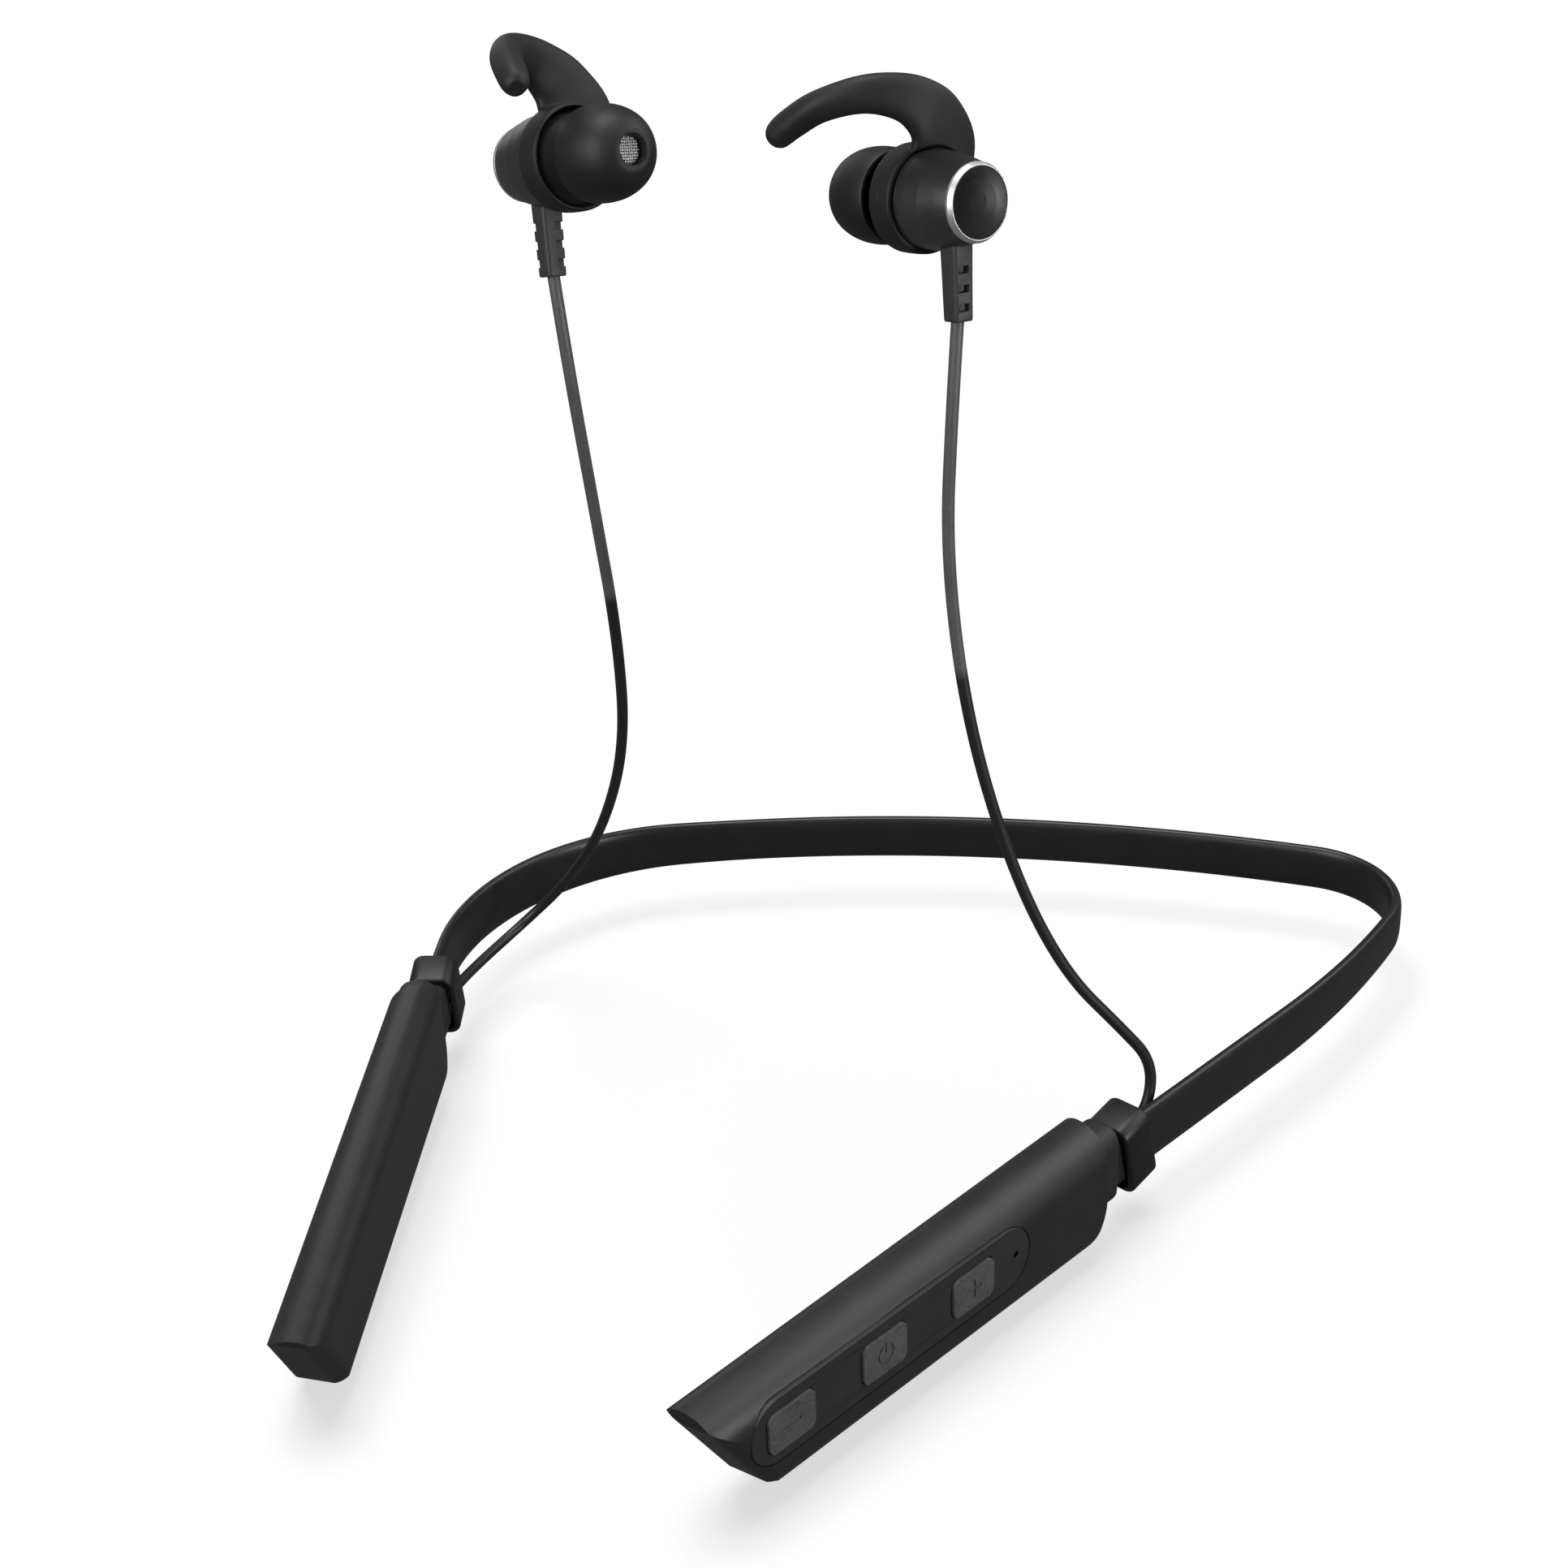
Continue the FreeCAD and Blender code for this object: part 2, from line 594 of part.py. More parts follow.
def build_controls():
    """Control panel, its three buttons and the switches behind them."""
    face = HOUSING_HALF_THICK
    panel = panel_plate(-PANEL_GAP, (face - PANEL_DEEP, face)).cut(control_holes())
    save("button_panel", place_on_arm(RIGHT, panel))
    inner_wall = face - WALL
    switches = []
    for node, x in BUTTON_X.items():
        button = button_plate(x, 0, (BUTTON_BACK_Y, face + BUTTON_PROUD))
        reach = BUTTON_LONG / 2 + BUTTON_FLANGE
        flange_z = (PANEL_Z - BUTTON_TALL / 2 - BUTTON_FLANGE, FLANGE_TOP)
        flange = pill((x - reach, x + reach), flange_z, (BUTTON_BACK_Y, inner_wall - 0.05), 1.2)
        button = button.fuse(flange).cut(symbol_cutters(node))
        save(node, place_on_arm(RIGHT, button))
        top = BUTTON_BACK_Y - 0.35
        case = box((x - 1.8, x + 1.8), (BOARD_Y[1], top - 0.25), (PANEL_Z - 1.5, PANEL_Z + 1.5))
        switches.append(case.fuse(rod_y(x, PANEL_Z, (top - 0.25, top), 0.8)))
    save("tact_switches", place_on_arm(RIGHT, Part.makeCompound(switches)))


def build_electronics():
    """Circuit board and what is on it, in the right housing."""
    board = pill(BOARD_X, (-BOARD_HALF_TALL, BOARD_HALF_TALL), BOARD_Y, 1.5)
    screws = []
    for x in SCREW_X:
        board = board.cut(rod_y(x, PANEL_Z, BOARD_Y, SCREW_R))
        shank = rod_y(x, PANEL_Z, (BOARD_Y[0], BOARD_Y[1] + 1.8), SCREW_R)
        head = rod_y(x, PANEL_Z, (BOARD_Y[0] - 0.8, BOARD_Y[0]), 1.2)
        slot_y = (BOARD_Y[0] - 0.9, BOARD_Y[0] - 0.5)
        slot = box((x - 1.3, x + 1.3), slot_y, (PANEL_Z - 0.15, PANEL_Z + 0.15))
        screws.append(shank.fuse(head).cut(slot))
    save("circuit_board", place_on_arm(RIGHT, board))
    save("board_screws", place_on_arm(RIGHT, Part.makeCompound(screws)))
    chip = box((38.0, 43.5), (BOARD_Y[0] - 0.8, BOARD_Y[0]), (-2.5, 3.0))
    save("bluetooth_chip", place_on_arm(RIGHT, chip))
    capsule_y = (BOARD_Y[1], BOARD_Y[1] + 1.1)
    capsule = box((MIC_X - 1.5, MIC_X + 1.5), capsule_y, (PANEL_Z - 1.1, PANEL_Z + 1.1))
    capsule = capsule.cut(rod_y(MIC_X, PANEL_Z, (BOARD_Y[1] + 0.8, BOARD_Y[1] + 2), 0.35))
    save("microphone", place_on_arm(RIGHT, capsule))
    shell_y = (BOARD_Y[0] - PORT_WIDE, BOARD_Y[0])
    shell_z = (-HOUSING_HALF_TALL + COVER_DEEP + 1.0, -4.0)
    shell = box((PORT_X - PORT_LONG / 2, PORT_X + PORT_LONG / 2), shell_y, shell_z)
    mouth = box((PORT_X - PORT_LONG / 2 + 0.3, PORT_X + PORT_LONG / 2 - 0.3),
                (shell_y[0] + 0.3, shell_y[1] - 0.3), (shell_z[0] - 1, shell_z[1] - 0.4))
    tongue = box((PORT_X - 2.4, PORT_X + 2.4), (shell_y[0] + 1.0, shell_y[0] + 1.6),
                 (shell_z[0] + 1, shell_z[1] - 0.4))
    save("usb_connector", place_on_arm(RIGHT, shell.cut(mouth).fuse(tongue)))
    guide = rod_z(LED_X, PORT_Y, (-HOUSING_HALF_TALL, -HOUSING_HALF_TALL + WALL + 1.0), LED_R)
    save("status_led", place_on_arm(RIGHT, guide))


def build_port_cover():
    """Soft flap over the charging port. It swings down about its rear edge."""
    bottom = -HOUSING_HALF_TALL
    rear = PORT_X - COVER_LONG / 2
    y_range = (PORT_Y - COVER_WIDE / 2, PORT_Y + COVER_WIDE / 2)
    half = COVER_DEEP / 2
    flap = box((rear + half, rear + COVER_LONG), y_range, (bottom, bottom + COVER_DEEP))
    flap = flap.fuse(rod_y(rear + half, bottom + half, y_range, half))
    plug = box((PORT_X - 2.9, PORT_X + 2.9), (PORT_Y - 0.7, PORT_Y + 0.7),
               (bottom + COVER_DEEP, bottom + COVER_DEEP + 0.8))
    nail = rod_y(rear + COVER_LONG, bottom - 0.5, y_range, 0.8)
    save("usb_port_cover", place_on_arm(RIGHT, flap.fuse(plug).cut(nail)))
    print("cover hinge", arm_point(RIGHT, rear + half, PORT_Y, bottom + half))


def build_battery():
    """Pouch cell, its protection board and its mounting pad, in the left housing."""
    cell = prism(rectangle((-2.3, 2.3), (-7.0, 5.2), 1.6), end_axes(12), Vector(50, 0, 0))
    save("battery", place_on_arm(LEFT, cell))
    board = box((62, 67), (-0.4, 0.4), (-5, 5))
    save("battery_board", place_on_arm(LEFT, board))
    pad = box((18, 56), (2.3, HOUSING_HALF_THICK - WALL), (-4.5, 2.4))
    save("battery_pad", place_on_arm(LEFT, pad))


# ---- earbud ------------------------------------------------------------------------------

def bud_axes(side):
    """Directions of the earbud's axis, forward and up."""
    heading = math.radians(BUD_HEADING[side])
    rise = math.radians(BUD_RISE[side])
    axis = Vector(math.cos(heading) * math.cos(rise), math.sin(heading) * math.cos(rise), math.sin(rise))
    up = Vector(-math.cos(heading) * math.sin(rise), -math.sin(heading) * math.sin(rise), math.cos(rise))
    forward = up.cross(axis) * side
    roll = math.radians(BUD_ROLL[side])
    return (axis, forward * math.cos(roll) + up * math.sin(roll),
            up * math.cos(roll) - forward * math.sin(roll))


def bud_point(side, x, y, z):
    axis, forward, up = bud_axes(side)
    return BUD_BACK[side] + axis * x + forward * y + up * z


def place_bud(side, shape):
    """Move a shape from the earbud's own axes to its place, mirrored on the left."""
    axis, forward, up = bud_axes(side)
    moved = shape if side == RIGHT else shape.mirror(Vector(), Vector(0, 1, 0))
    across = forward * side
    place = BUD_BACK[side]
    return moved.transformed(Matrix(axis.x, across.x, up.x, place.x, axis.y, across.y, up.y, place.y,
                                    axis.z, across.z, up.z, place.z, 0, 0, 0, 1))


def rear_shell_form(shrink):
    """Cone of the rear shell, with every radius smaller by shrink."""
    return revolve((
        (RIM_LONG, 0), (RIM_LONG, RIM_R - shrink), (4.5, 5.75 - shrink),
        (8.0, SHELL_R - 0.08 - shrink), (SHELL_END, SHELL_R - shrink), (SHELL_END, 0),
    ))


def relief_plug(radius, high):
    return rod_z(RELIEF_X, 0, (-SHELL_R - 0.5, high), radius)


def build_rear(side):
    """Rear shell with its polished rim, back disc and holding magnet."""
    name = SIDE_NAMES[side]
    hollow = rear_shell_form(SHELL_WALL).translated(Vector(0.8, 0, 0))
    shell = rear_shell_form(0).cut(hollow).cut(relief_plug(1.2, 0))
    save(f"{name}_rear_shell", place_bud(side, shell))
    rim = revolve(((0, DISC_R), (0, RIM_R - 0.5), (0.5, RIM_R), (RIM_LONG, RIM_R), (RIM_LONG, DISC_R)))
    save(f"{name}_rim", place_bud(side, rim))
    disc = revolve(((0.2, 0), (0.2, DISC_R), (RIM_LONG, DISC_R), (RIM_LONG, 0)))
    save(f"{name}_back_disc", place_bud(side, disc))
    magnet = revolve(((RIM_LONG + 0.8, 0), (RIM_LONG + 0.8, 3.4), (4.0, 3.4), (4.0, 0)))
    save(f"{name}_magnet", place_bud(side, magnet))


def build_front(side):
    """Front shell with its nozzle, the driver in it and the mesh across the nozzle."""
    name = SIDE_NAMES[side]
    spigot_r = SHELL_R - SHELL_WALL - 0.25
    shell = revolve((
        (8.2, spigot_r - 0.4), (8.2, spigot_r), (SHELL_END, spigot_r), (SHELL_END, SHELL_R),
        (SEAT_X[0], SHELL_R), (SEAT_X[0], SEAT_R), (SEAT_X[1], SEAT_R), (13.3, 5.4), (15.0, NOZZLE_R),
        (NOZZLE_END, NOZZLE_R), (NOZZLE_END, NOZZLE_BORE), (14.4, NOZZLE_BORE), (12.0, 4.5),
        (11.0, 4.5), (11.0, spigot_r - 0.4),
    ))
    save(f"{name}_front_shell", place_bud(side, shell))
    driver = revolve(((7.6, 0), (7.6, 3.0), (8.6, 3.0), (8.6, spigot_r - 0.4), (11.0, spigot_r - 0.4),
                      (11.0, 3.6), (10.6, 3.2), (10.6, 0)))
    save(f"{name}_driver", place_bud(side, driver))
    mesh = revolve(((21.0, 0), (21.0, NOZZLE_BORE), (21.3, NOZZLE_BORE), (21.3, 0)))
    save(f"{name}_mesh", place_bud(side, mesh))


def wing_section(index):
    """Many-sided ellipse across the wing at one station, square to the line through its neighbours."""
    x, y, z, width, thick = WING_STATIONS[index]
    before = WING_STATIONS[max(index - 1, 0)]
    after = WING_STATIONS[min(index + 1, len(WING_STATIONS) - 1)]
    along = Vector(*(b - a for a, b in zip(before[:3], after[:3]))).normalize()
    flat = Vector(1, 0, 0)
    across = along.cross(flat).normalize() * (width / 2)
    through = along.cross(across).normalize() * (thick / 2)
    centre = Vector(COLLAR_X + x, y, z)
    angles = [2 * math.pi * k / WING_SIDES for k in range(WING_SIDES)]
    points = [centre + across * math.cos(a) + through * math.sin(a) for a in angles]
    return Part.makePolygon(points + points[:1])


def build_wing(side):
    """Silicone collar with the ear wing on it, in one piece."""
    inner = SEAT_R + COLLAR_GAP
    x_range = (SEAT_X[0] + 0.1, SEAT_X[1] - 0.1)
    outer = inner + COLLAR_WALL
    collar = revolve(((x_range[0], inner), (x_range[0], outer), (x_range[1], outer), (x_range[1], inner)))
    wing = Part.makeLoft([wing_section(i) for i in range(len(WING_STATIONS))], True, False)
    keep_out = revolve(((0, 0), (0, SHELL_R + 0.3), (x_range[0], SHELL_R + 0.3), (x_range[0], inner),
                        (30, inner), (30, 0)))
    save(f"{SIDE_NAMES[side]}_wing", place_bud(side, collar.fuse(wing).cut(keep_out)))


def build_tip(side):
    """Soft ear tip: a core tube on the nozzle and a dome that folds back over it."""
    rear, front = TIP_X
    core_in = NOZZLE_R + COLLAR_GAP
    tip = revolve((
        (rear + 0.6, core_in), (rear + 0.6, core_in + 0.8), (22.6, core_in + 0.8), (23.4, 4.1),
        (22.6, 4.9), (19.5, 5.5), (rear, 5.5), (rear, 5.9), (17.6, TIP_R - 0.06), (19.4, TIP_R),
        (21.2, TIP_R - 0.1), (23.0, 5.75), (24.6, 4.95), (25.7, 4.0), (front, 3.2), (front, 2.7),
        (25.6, 2.5), (NOZZLE_END + 0.3, 2.5), (NOZZLE_END + 0.3, core_in),
    ))
    save(f"{SIDE_NAMES[side]}_ear_tip", place_bud(side, tip))


def build_relief(side):
    """Strain relief under the rear shell, cut by staggered slots, with a socket for the cord."""
    half = RELIEF_WIDE / 2
    body = rectangle((RELIEF_X - half, RELIEF_X + half), (-half, half), RELIEF_CORNER)
    axes = (Vector(0, 0, RELIEF_BOTTOM), Vector(1, 0, 0), Vector(0, 1, 0))
    relief = prism(body, axes, Vector(0, 0, -RELIEF_BOTTOM - 4.0)).cut(rear_shell_form(0))
    relief = relief.fuse(relief_plug(1.2, -SHELL_R + 1.6))
    for i in range(3):
        low = -12.6 + 2.1 * i
        tall = (low, low + 1.0)
        for sign in (1, -1):
            shifted = (low + 1.05, low + 2.05)
            across = (0.9 * sign, 2.0 * sign)
            relief = relief.cut(box((RELIEF_X - 1.1, RELIEF_X + 1.1), (min(across), max(across)), tall))
            x_range = (RELIEF_X + min(across), RELIEF_X + max(across))
            relief = relief.cut(box(x_range, (-1.1, 1.1), shifted))
    socket_r = CORD_R + 0.07
    socket = Part.makeSphere(socket_r, Vector(RELIEF_X, 0, PIVOT_Z))
    flare = PIVOT_Z - RELIEF_BOTTOM + 0.1
    mouth = Part.makeCone(socket_r, socket_r + flare * math.tan(math.radians(24)), flare,
                          Vector(RELIEF_X, 0, PIVOT_Z), Vector(0, 0, -1))
    save(f"{SIDE_NAMES[side]}_strain_relief", place_bud(side, relief.cut([socket, mouth])))


# ---- cords -------------------------------------------------------------------------------

def cord_path(points):
    """Straight runs joined by tangent arcs, each as large as its two runs allow."""
    edges = []
    radii = []
    start = points[0]
    for i in range(1, len(points) - 1):
        back = points[i - 1] - points[i]
        ahead = points[i + 1] - points[i]
        reach = 0.45 * min(back.Length, ahead.Length)
        half = back.getAngle(ahead) / 2
        radius = reach * math.tan(half)
        first = points[i] + back.normalize() * reach
        last = points[i] + ahead.normalize() * reach
        middle = points[i] + (back + ahead).normalize() * (radius / math.sin(half) - radius)
        edges.append(Part.LineSegment(start, first).toShape())
        edges.append(Part.Arc(first, middle, last).toShape())
        radii.append(radius)
        start = last
    edges.append(Part.LineSegment(start, points[-1]).toShape())
    return Part.Wire(edges), radii


def build_cord(side):
    """Cord from the sleeve to its ball end inside the strain relief."""
    exit_x = -STUB_LONG - SLEEVE_LONG
    start = arm_point(side, exit_x, CORD_EXIT_Y, CORD_EXIT_Z)
    pivot = bud_point(side, RELIEF_X, 0, PIVOT_Z)
    points = [start] + [Vector(*p) for p in CORD_ROUTE[side]] + [pivot]
    path, radii = cord_path(points)
    direction = points[1] - points[0]
    circle = Part.Wire([Part.Circle(start, direction, CORD_R).toShape()])
    tube = path.makePipeShell([circle], True, True)
    section = math.pi * CORD_R ** 2
    print(f"{SIDE_NAMES[side]} cord length {path.Length:.1f}")
    print(f"  volume ratio {tube.Volume / section / path.Length:.3f}")
    print("  points", [tuple(round(c, 2) for c in p) for p in points])
    print("  radii in diameters", [round(r / (2 * CORD_R), 1) for r in radii])
    if min(radii) < CORD_LIMP_RADIUS * 2 * CORD_R:
        print("  a bend is tighter than the cord allows")
    save(f"{SIDE_NAMES[side]}_cord", tube.fuse(Part.makeSphere(CORD_R, pivot)))


def main():
    arms = build_band()
    for side in (RIGHT, LEFT):
        build_boot(side, arms[side])
        build_keeper_ring(side)
        build_housing(side)
        build_rear(side)
        build_front(side)
        build_wing(side)
        build_tip(side)
        build_relief(side)
        build_cord(side)
        print("flex axis", SIDE_NAMES[side], band_frame(side, FLEX_AT[side])[0])
        print("arm axes", SIDE_NAMES[side], band_frame(side, band_length(side)))
        print("bud pivot", SIDE_NAMES[side], bud_point(side, RELIEF_X, 0, PIVOT_Z))
        print("bud axes", SIDE_NAMES[side], bud_axes(side))
    build_controls()
    build_electronics()
    build_port_cover()
    build_battery()


main()
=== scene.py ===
"""Neckband earphones: the looks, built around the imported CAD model. Metres, +Z up, -Y is forward."""

import math

import bmesh
import bpy
from mathutils import Matrix, Vector


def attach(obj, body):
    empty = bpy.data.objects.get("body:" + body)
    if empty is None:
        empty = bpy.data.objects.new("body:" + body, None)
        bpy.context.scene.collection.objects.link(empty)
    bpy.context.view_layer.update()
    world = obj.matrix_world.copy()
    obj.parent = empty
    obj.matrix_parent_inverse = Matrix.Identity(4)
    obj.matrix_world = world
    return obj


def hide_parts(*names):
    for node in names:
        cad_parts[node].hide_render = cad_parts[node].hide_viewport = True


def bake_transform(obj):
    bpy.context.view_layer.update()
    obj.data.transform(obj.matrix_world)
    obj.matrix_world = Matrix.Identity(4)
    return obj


MM = 0.001
RIGHT = 1
LEFT = -1
SIDE_NAMES = {RIGHT: "right", LEFT: "left"}

# ---- sizes shared with the CAD, in millimetres ---------------------------------------------

BAND_THICK = 2.2
BAND_TALL = 8.0
BAND_SKEW = 16.5
BAND_ARCS = {
    RIGHT: ((270.0, 13.0), (16.0, 101.0), (180.0, 12.5)),
    LEFT: ((232.0, 13.3), (43.0, 80.2)),
}
BAND_STRAIGHT = {RIGHT: 50.0, LEFT: 22.5}
FLEX_AT = {RIGHT: 76.0, LEFT: 83.0}
HOUSING_PITCH = {RIGHT: 0.0, LEFT: 1.5}
PITCH_X = -3.0
BUD_BACK = {RIGHT: Vector((32.1, -85.8, 139.1)), LEFT: Vector((-34.1, -83.7, 139.2))}
BUD_HEADING = {RIGHT: 151.5, LEFT: -26.0}
BUD_RISE = {RIGHT: -7.0, LEFT: 13.0}
BUD_ROLL = {RIGHT: 4.0, LEFT: 7.5}
COLLAR_X = 11.2
WING_STATIONS = (  # x from the collar's middle, y, z, width, thickness
    (0.2, -2.4, -3.4, 8.4, 1.6),
    (-0.3, -3.1, 0.8, 9.0, 2.6),
    (-1.0, -2.5, 5.5, 11.4, 3.0),
    (-1.8, -1.1, 9.1, 9.4, 3.1),
    (-2.0, 1.2, 11.4, 7.5, 3.3),
    (-1.2, 4.2, 12.9, 6.0, 3.5),
    (1.2, 8.1, 13.4, 4.9, 3.8),
    (5.4, 11.6, 12.2, 4.2, 4.1),
    (8.9, 13.3, 10.3, 3.9, 4.2),
    (11.2, 14.2, 8.7, 3.5, 3.8),
    (12.0, 14.6, 8.0, 2.2, 2.4),
)
RELIEF_X = 4.9
WINDOW_Z = (-8.4, -10.8, -13.2)
CORD_R = 0.85
CORD_POINTS = {  # the route from the sleeve to the strain relief
    RIGHT: ((51.4, -81.73, -0.5), (53.0, -77.6, -0.5), (54.6, -72.6, 2.8), (54.2, -71.6, 9.2),
            (50.6, -75.0, 15.8), (43.2, -79.8, 26.5), (36.6, -83.7, 43.5), (30.8, -86.9, 67.5),
            (27.8, -87.2, 92.0), (28.7, -87.0, 113.0), (28.84, -85.13, 124.84)),
    LEFT: ((-62.15, -83.51, -0.33), (-64.1, -77.3, -1.2), (-64.9, -67.5, -1.8), (-63.3, -54.6, -0.6),
           (-54.2, -54.2, 9.0), (-42.8, -60.5, 24.5), (-33.3, -68.0, 45.0), (-28.6, -76.5, 68.0),
           (-26.2, -85.1, 92.0), (-25.4, -91.0, 115.4), (-27.83, -88.76, 126.97)),
}

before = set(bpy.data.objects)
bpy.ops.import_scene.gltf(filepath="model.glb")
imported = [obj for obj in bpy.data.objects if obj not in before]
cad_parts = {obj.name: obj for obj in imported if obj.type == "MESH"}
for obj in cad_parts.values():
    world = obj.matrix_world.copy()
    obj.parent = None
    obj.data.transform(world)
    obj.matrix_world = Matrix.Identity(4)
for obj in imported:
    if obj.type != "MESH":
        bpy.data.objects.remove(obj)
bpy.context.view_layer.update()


# ---- materials -----------------------------------------------------------------------------

BLOTCH_SCALE = 160.0  # of the slow variation in colour and gloss


def surface(name, colour, rough, metal=0.0, grain=2600.0, bump=0.25, depth=0.02, vary=0.18,
            rough_vary=0.07, spin=0.0, band=None):
    """A procedural finish: fine moulded grain, slow colour and gloss variation, and optional turning lines.

    band is (low z, high z, lower colour): below the low height the lower colour is used, and it fades
    into the finish's colour by the high one. The cords use it for painted light: their lighter colour above
    the step stands in for light on their upper part, and the lower colour is their own.
    """
    material = bpy.data.materials.new(name)
    material.use_nodes = True
    tree = material.node_tree
    shader = tree.nodes["Principled BSDF"]
    shader.inputs["Metallic"].default_value = metal
    coordinates = tree.nodes.new("ShaderNodeTexCoord")

    def noise(scale, detail):
        node = tree.nodes.new("ShaderNodeTexNoise")
        node.inputs["Scale"].default_value = scale
        node.inputs["Detail"].default_value = detail
        tree.links.new(coordinates.outputs["Object"], node.inputs["Vector"])
        return node

    slow = noise(BLOTCH_SCALE, 4.0)
    fine = noise(grain, 3.0)
    mix_two = tree.nodes.new("ShaderNodeMath")
    mix_two.operation = "MULTIPLY_ADD"
    mix_two.inputs[1].default_value = 0.5
    tree.links.new(slow.outputs["Fac"], mix_two.inputs[0])
    half_fine = tree.nodes.new("ShaderNodeMath")
    half_fine.operation = "MULTIPLY"
    half_fine.inputs[1].default_value = 0.5
    tree.links.new(fine.outputs["Fac"], half_fine.inputs[0])
    tree.links.new(half_fine.outputs[0], mix_two.inputs[2])
    ramp = tree.nodes.new("ShaderNodeValToRGB")
    ramp.color_ramp.elements[0].position = 0.3
    ramp.color_ramp.elements[1].position = 0.7
    ramp.color_ramp.elements[0].color = (*[c * (1 - vary) for c in colour], 1)
    ramp.color_ramp.elements[1].color = (*[c * (1 + vary) for c in colour], 1)
    tree.links.new(mix_two.outputs[0], ramp.inputs["Fac"])
    colour_out = ramp.outputs["Color"]
    # Painted light by height: the lower colour below the step, the finish's colour above it, which on the
    # cords stands in for light on their upper part.
    if band:
        low, high, lower = band
        split = tree.nodes.new("ShaderNodeSeparateXYZ")
        tree.links.new(coordinates.outputs["Object"], split.inputs[0])
        height = tree.nodes.new("ShaderNodeMapRange")
        height.inputs["From Min"].default_value = low
        height.inputs["From Max"].default_value = high
        tree.links.new(split.outputs["Z"], height.inputs["Value"])
        blend = tree.nodes.new("ShaderNodeMix")
        blend.data_type = "RGBA"
        blend.inputs["A"].default_value = (*lower, 1)
        tree.links.new(height.outputs["Result"], blend.inputs["Factor"])
        tree.links.new(colour_out, blend.inputs["B"])
        colour_out = blend.outputs["Result"]
    tree.links.new(colour_out, shader.inputs["Base Color"])
    gloss = tree.nodes.new("ShaderNodeMapRange")
    gloss.inputs["To Min"].default_value = rough - rough_vary
    gloss.inputs["To Max"].default_value = rough + rough_vary
    tree.links.new(slow.outputs["Fac"], gloss.inputs["Value"])
    tree.links.new(gloss.outputs["Result"], shader.inputs["Roughness"])
    relief = tree.nodes.new("ShaderNodeBump")
    relief.inputs["Strength"].default_value = bump
    relief.inputs["Distance"].default_value = depth * MM
    tree.links.new(fine.outputs["Fac"], relief.inputs["Height"])
    if spin:
        split = tree.nodes.new("ShaderNodeSeparateXYZ")
        tree.links.new(coordinates.outputs["UV"], split.inputs[0])
        lines = tree.nodes.new("ShaderNodeTexNoise")
        lines.noise_dimensions = "1D"
        lines.inputs["Scale"].default_value = spin
        lines.inputs["Detail"].default_value = 2.0
        tree.links.new(split.outputs["Y"], lines.inputs["W"])
        turned = tree.nodes.new("ShaderNodeBump")
        turned.inputs["Strength"].default_value = 0.35
        turned.inputs["Distance"].default_value = 0.004 * MM
        tree.links.new(lines.outputs["Fac"], turned.inputs["Height"])
        tree.links.new(relief.outputs["Normal"], turned.inputs["Normal"])
        relief = turned
    tree.links.new(relief.outputs["Normal"], shader.inputs["Normal"])
    return material


def gray(level, tint=0.0):
    """A grey of the given linear level, leaning a little to blue by the tint."""
    return (level * (1 - tint), level, level * (1 + tint))


SILICONE = surface("band_silicone", gray(0.012, 0.02), 0.35, grain=1500, bump=0.12, rough_vary=0.05)
HOUSING = surface("soft_touch_plastic", gray(0.016, 0.02), 0.40, grain=3200, bump=0.22, rough_vary=0.04)
CAP = surface("end_cap_plastic", gray(0.012, 0.02), 0.42, grain=3000, bump=0.25)
PANEL = surface("panel_plastic", gray(0.022, 0.02), 0.50, grain=3600, bump=0.3, rough_vary=0.05)
BUTTON = surface("grained_rubber", gray(0.078, 0.01), 0.60, grain=2100, bump=0.95, depth=0.10, vary=0.45)
CORD_PAINTED_LIGHT_HEIGHTS = (0.0745, 0.0765)  # heights between which the cords turn from their own dark colour to a lighter painted light
# The cords' own colour is the dark lower one; their lighter grey above the step is painted light, standing in
# for the flash on their upper part.
CORD = surface("cord_rubber", gray(0.100, 0.01), 0.42, grain=1800, bump=0.2,
               band=(*CORD_PAINTED_LIGHT_HEIGHTS, gray(0.014, 0.01)))
SHELL = surface("gloss_black_metal", gray(0.075, 0.03), 0.36, metal=0.6, grain=5200, bump=0.06, spin=90)
RIM = surface("polished_rim", gray(0.72, 0.01), 0.42, metal=0.9, grain=5200, bump=0.0, vary=0.03)
DISC = surface("spun_black_disc", gray(0.022, 0.02), 0.32, metal=0.7, grain=5200, bump=0.06, spin=120)
EAR = surface("ear_silicone", gray(0.007, 0.02), 0.52, grain=1700, bump=0.15, rough_vary=0.05)
WING = surface("wing_silicone", gray(0.008, 0.02), 0.60, grain=1900, bump=0.3, depth=0.03)
BOOT = surface("boot_rubber", gray(0.016, 0.02), 0.52, grain=2400, bump=0.3)
RELIEF = surface("relief_rubber", gray(0.036, 0.02), 0.50, grain=2600, bump=0.4)
RING = surface("keeper_rubber", gray(0.006, 0.02), 0.42, grain=2600, bump=0.35)
WIRE = surface("woven_steel", gray(0.95, 0.01), 0.40, metal=0.35, grain=4200, bump=0.1, vary=0.1)
FRONT = surface("front_plastic", gray(0.012, 0.02), 0.45, grain=3200, bump=0.3)
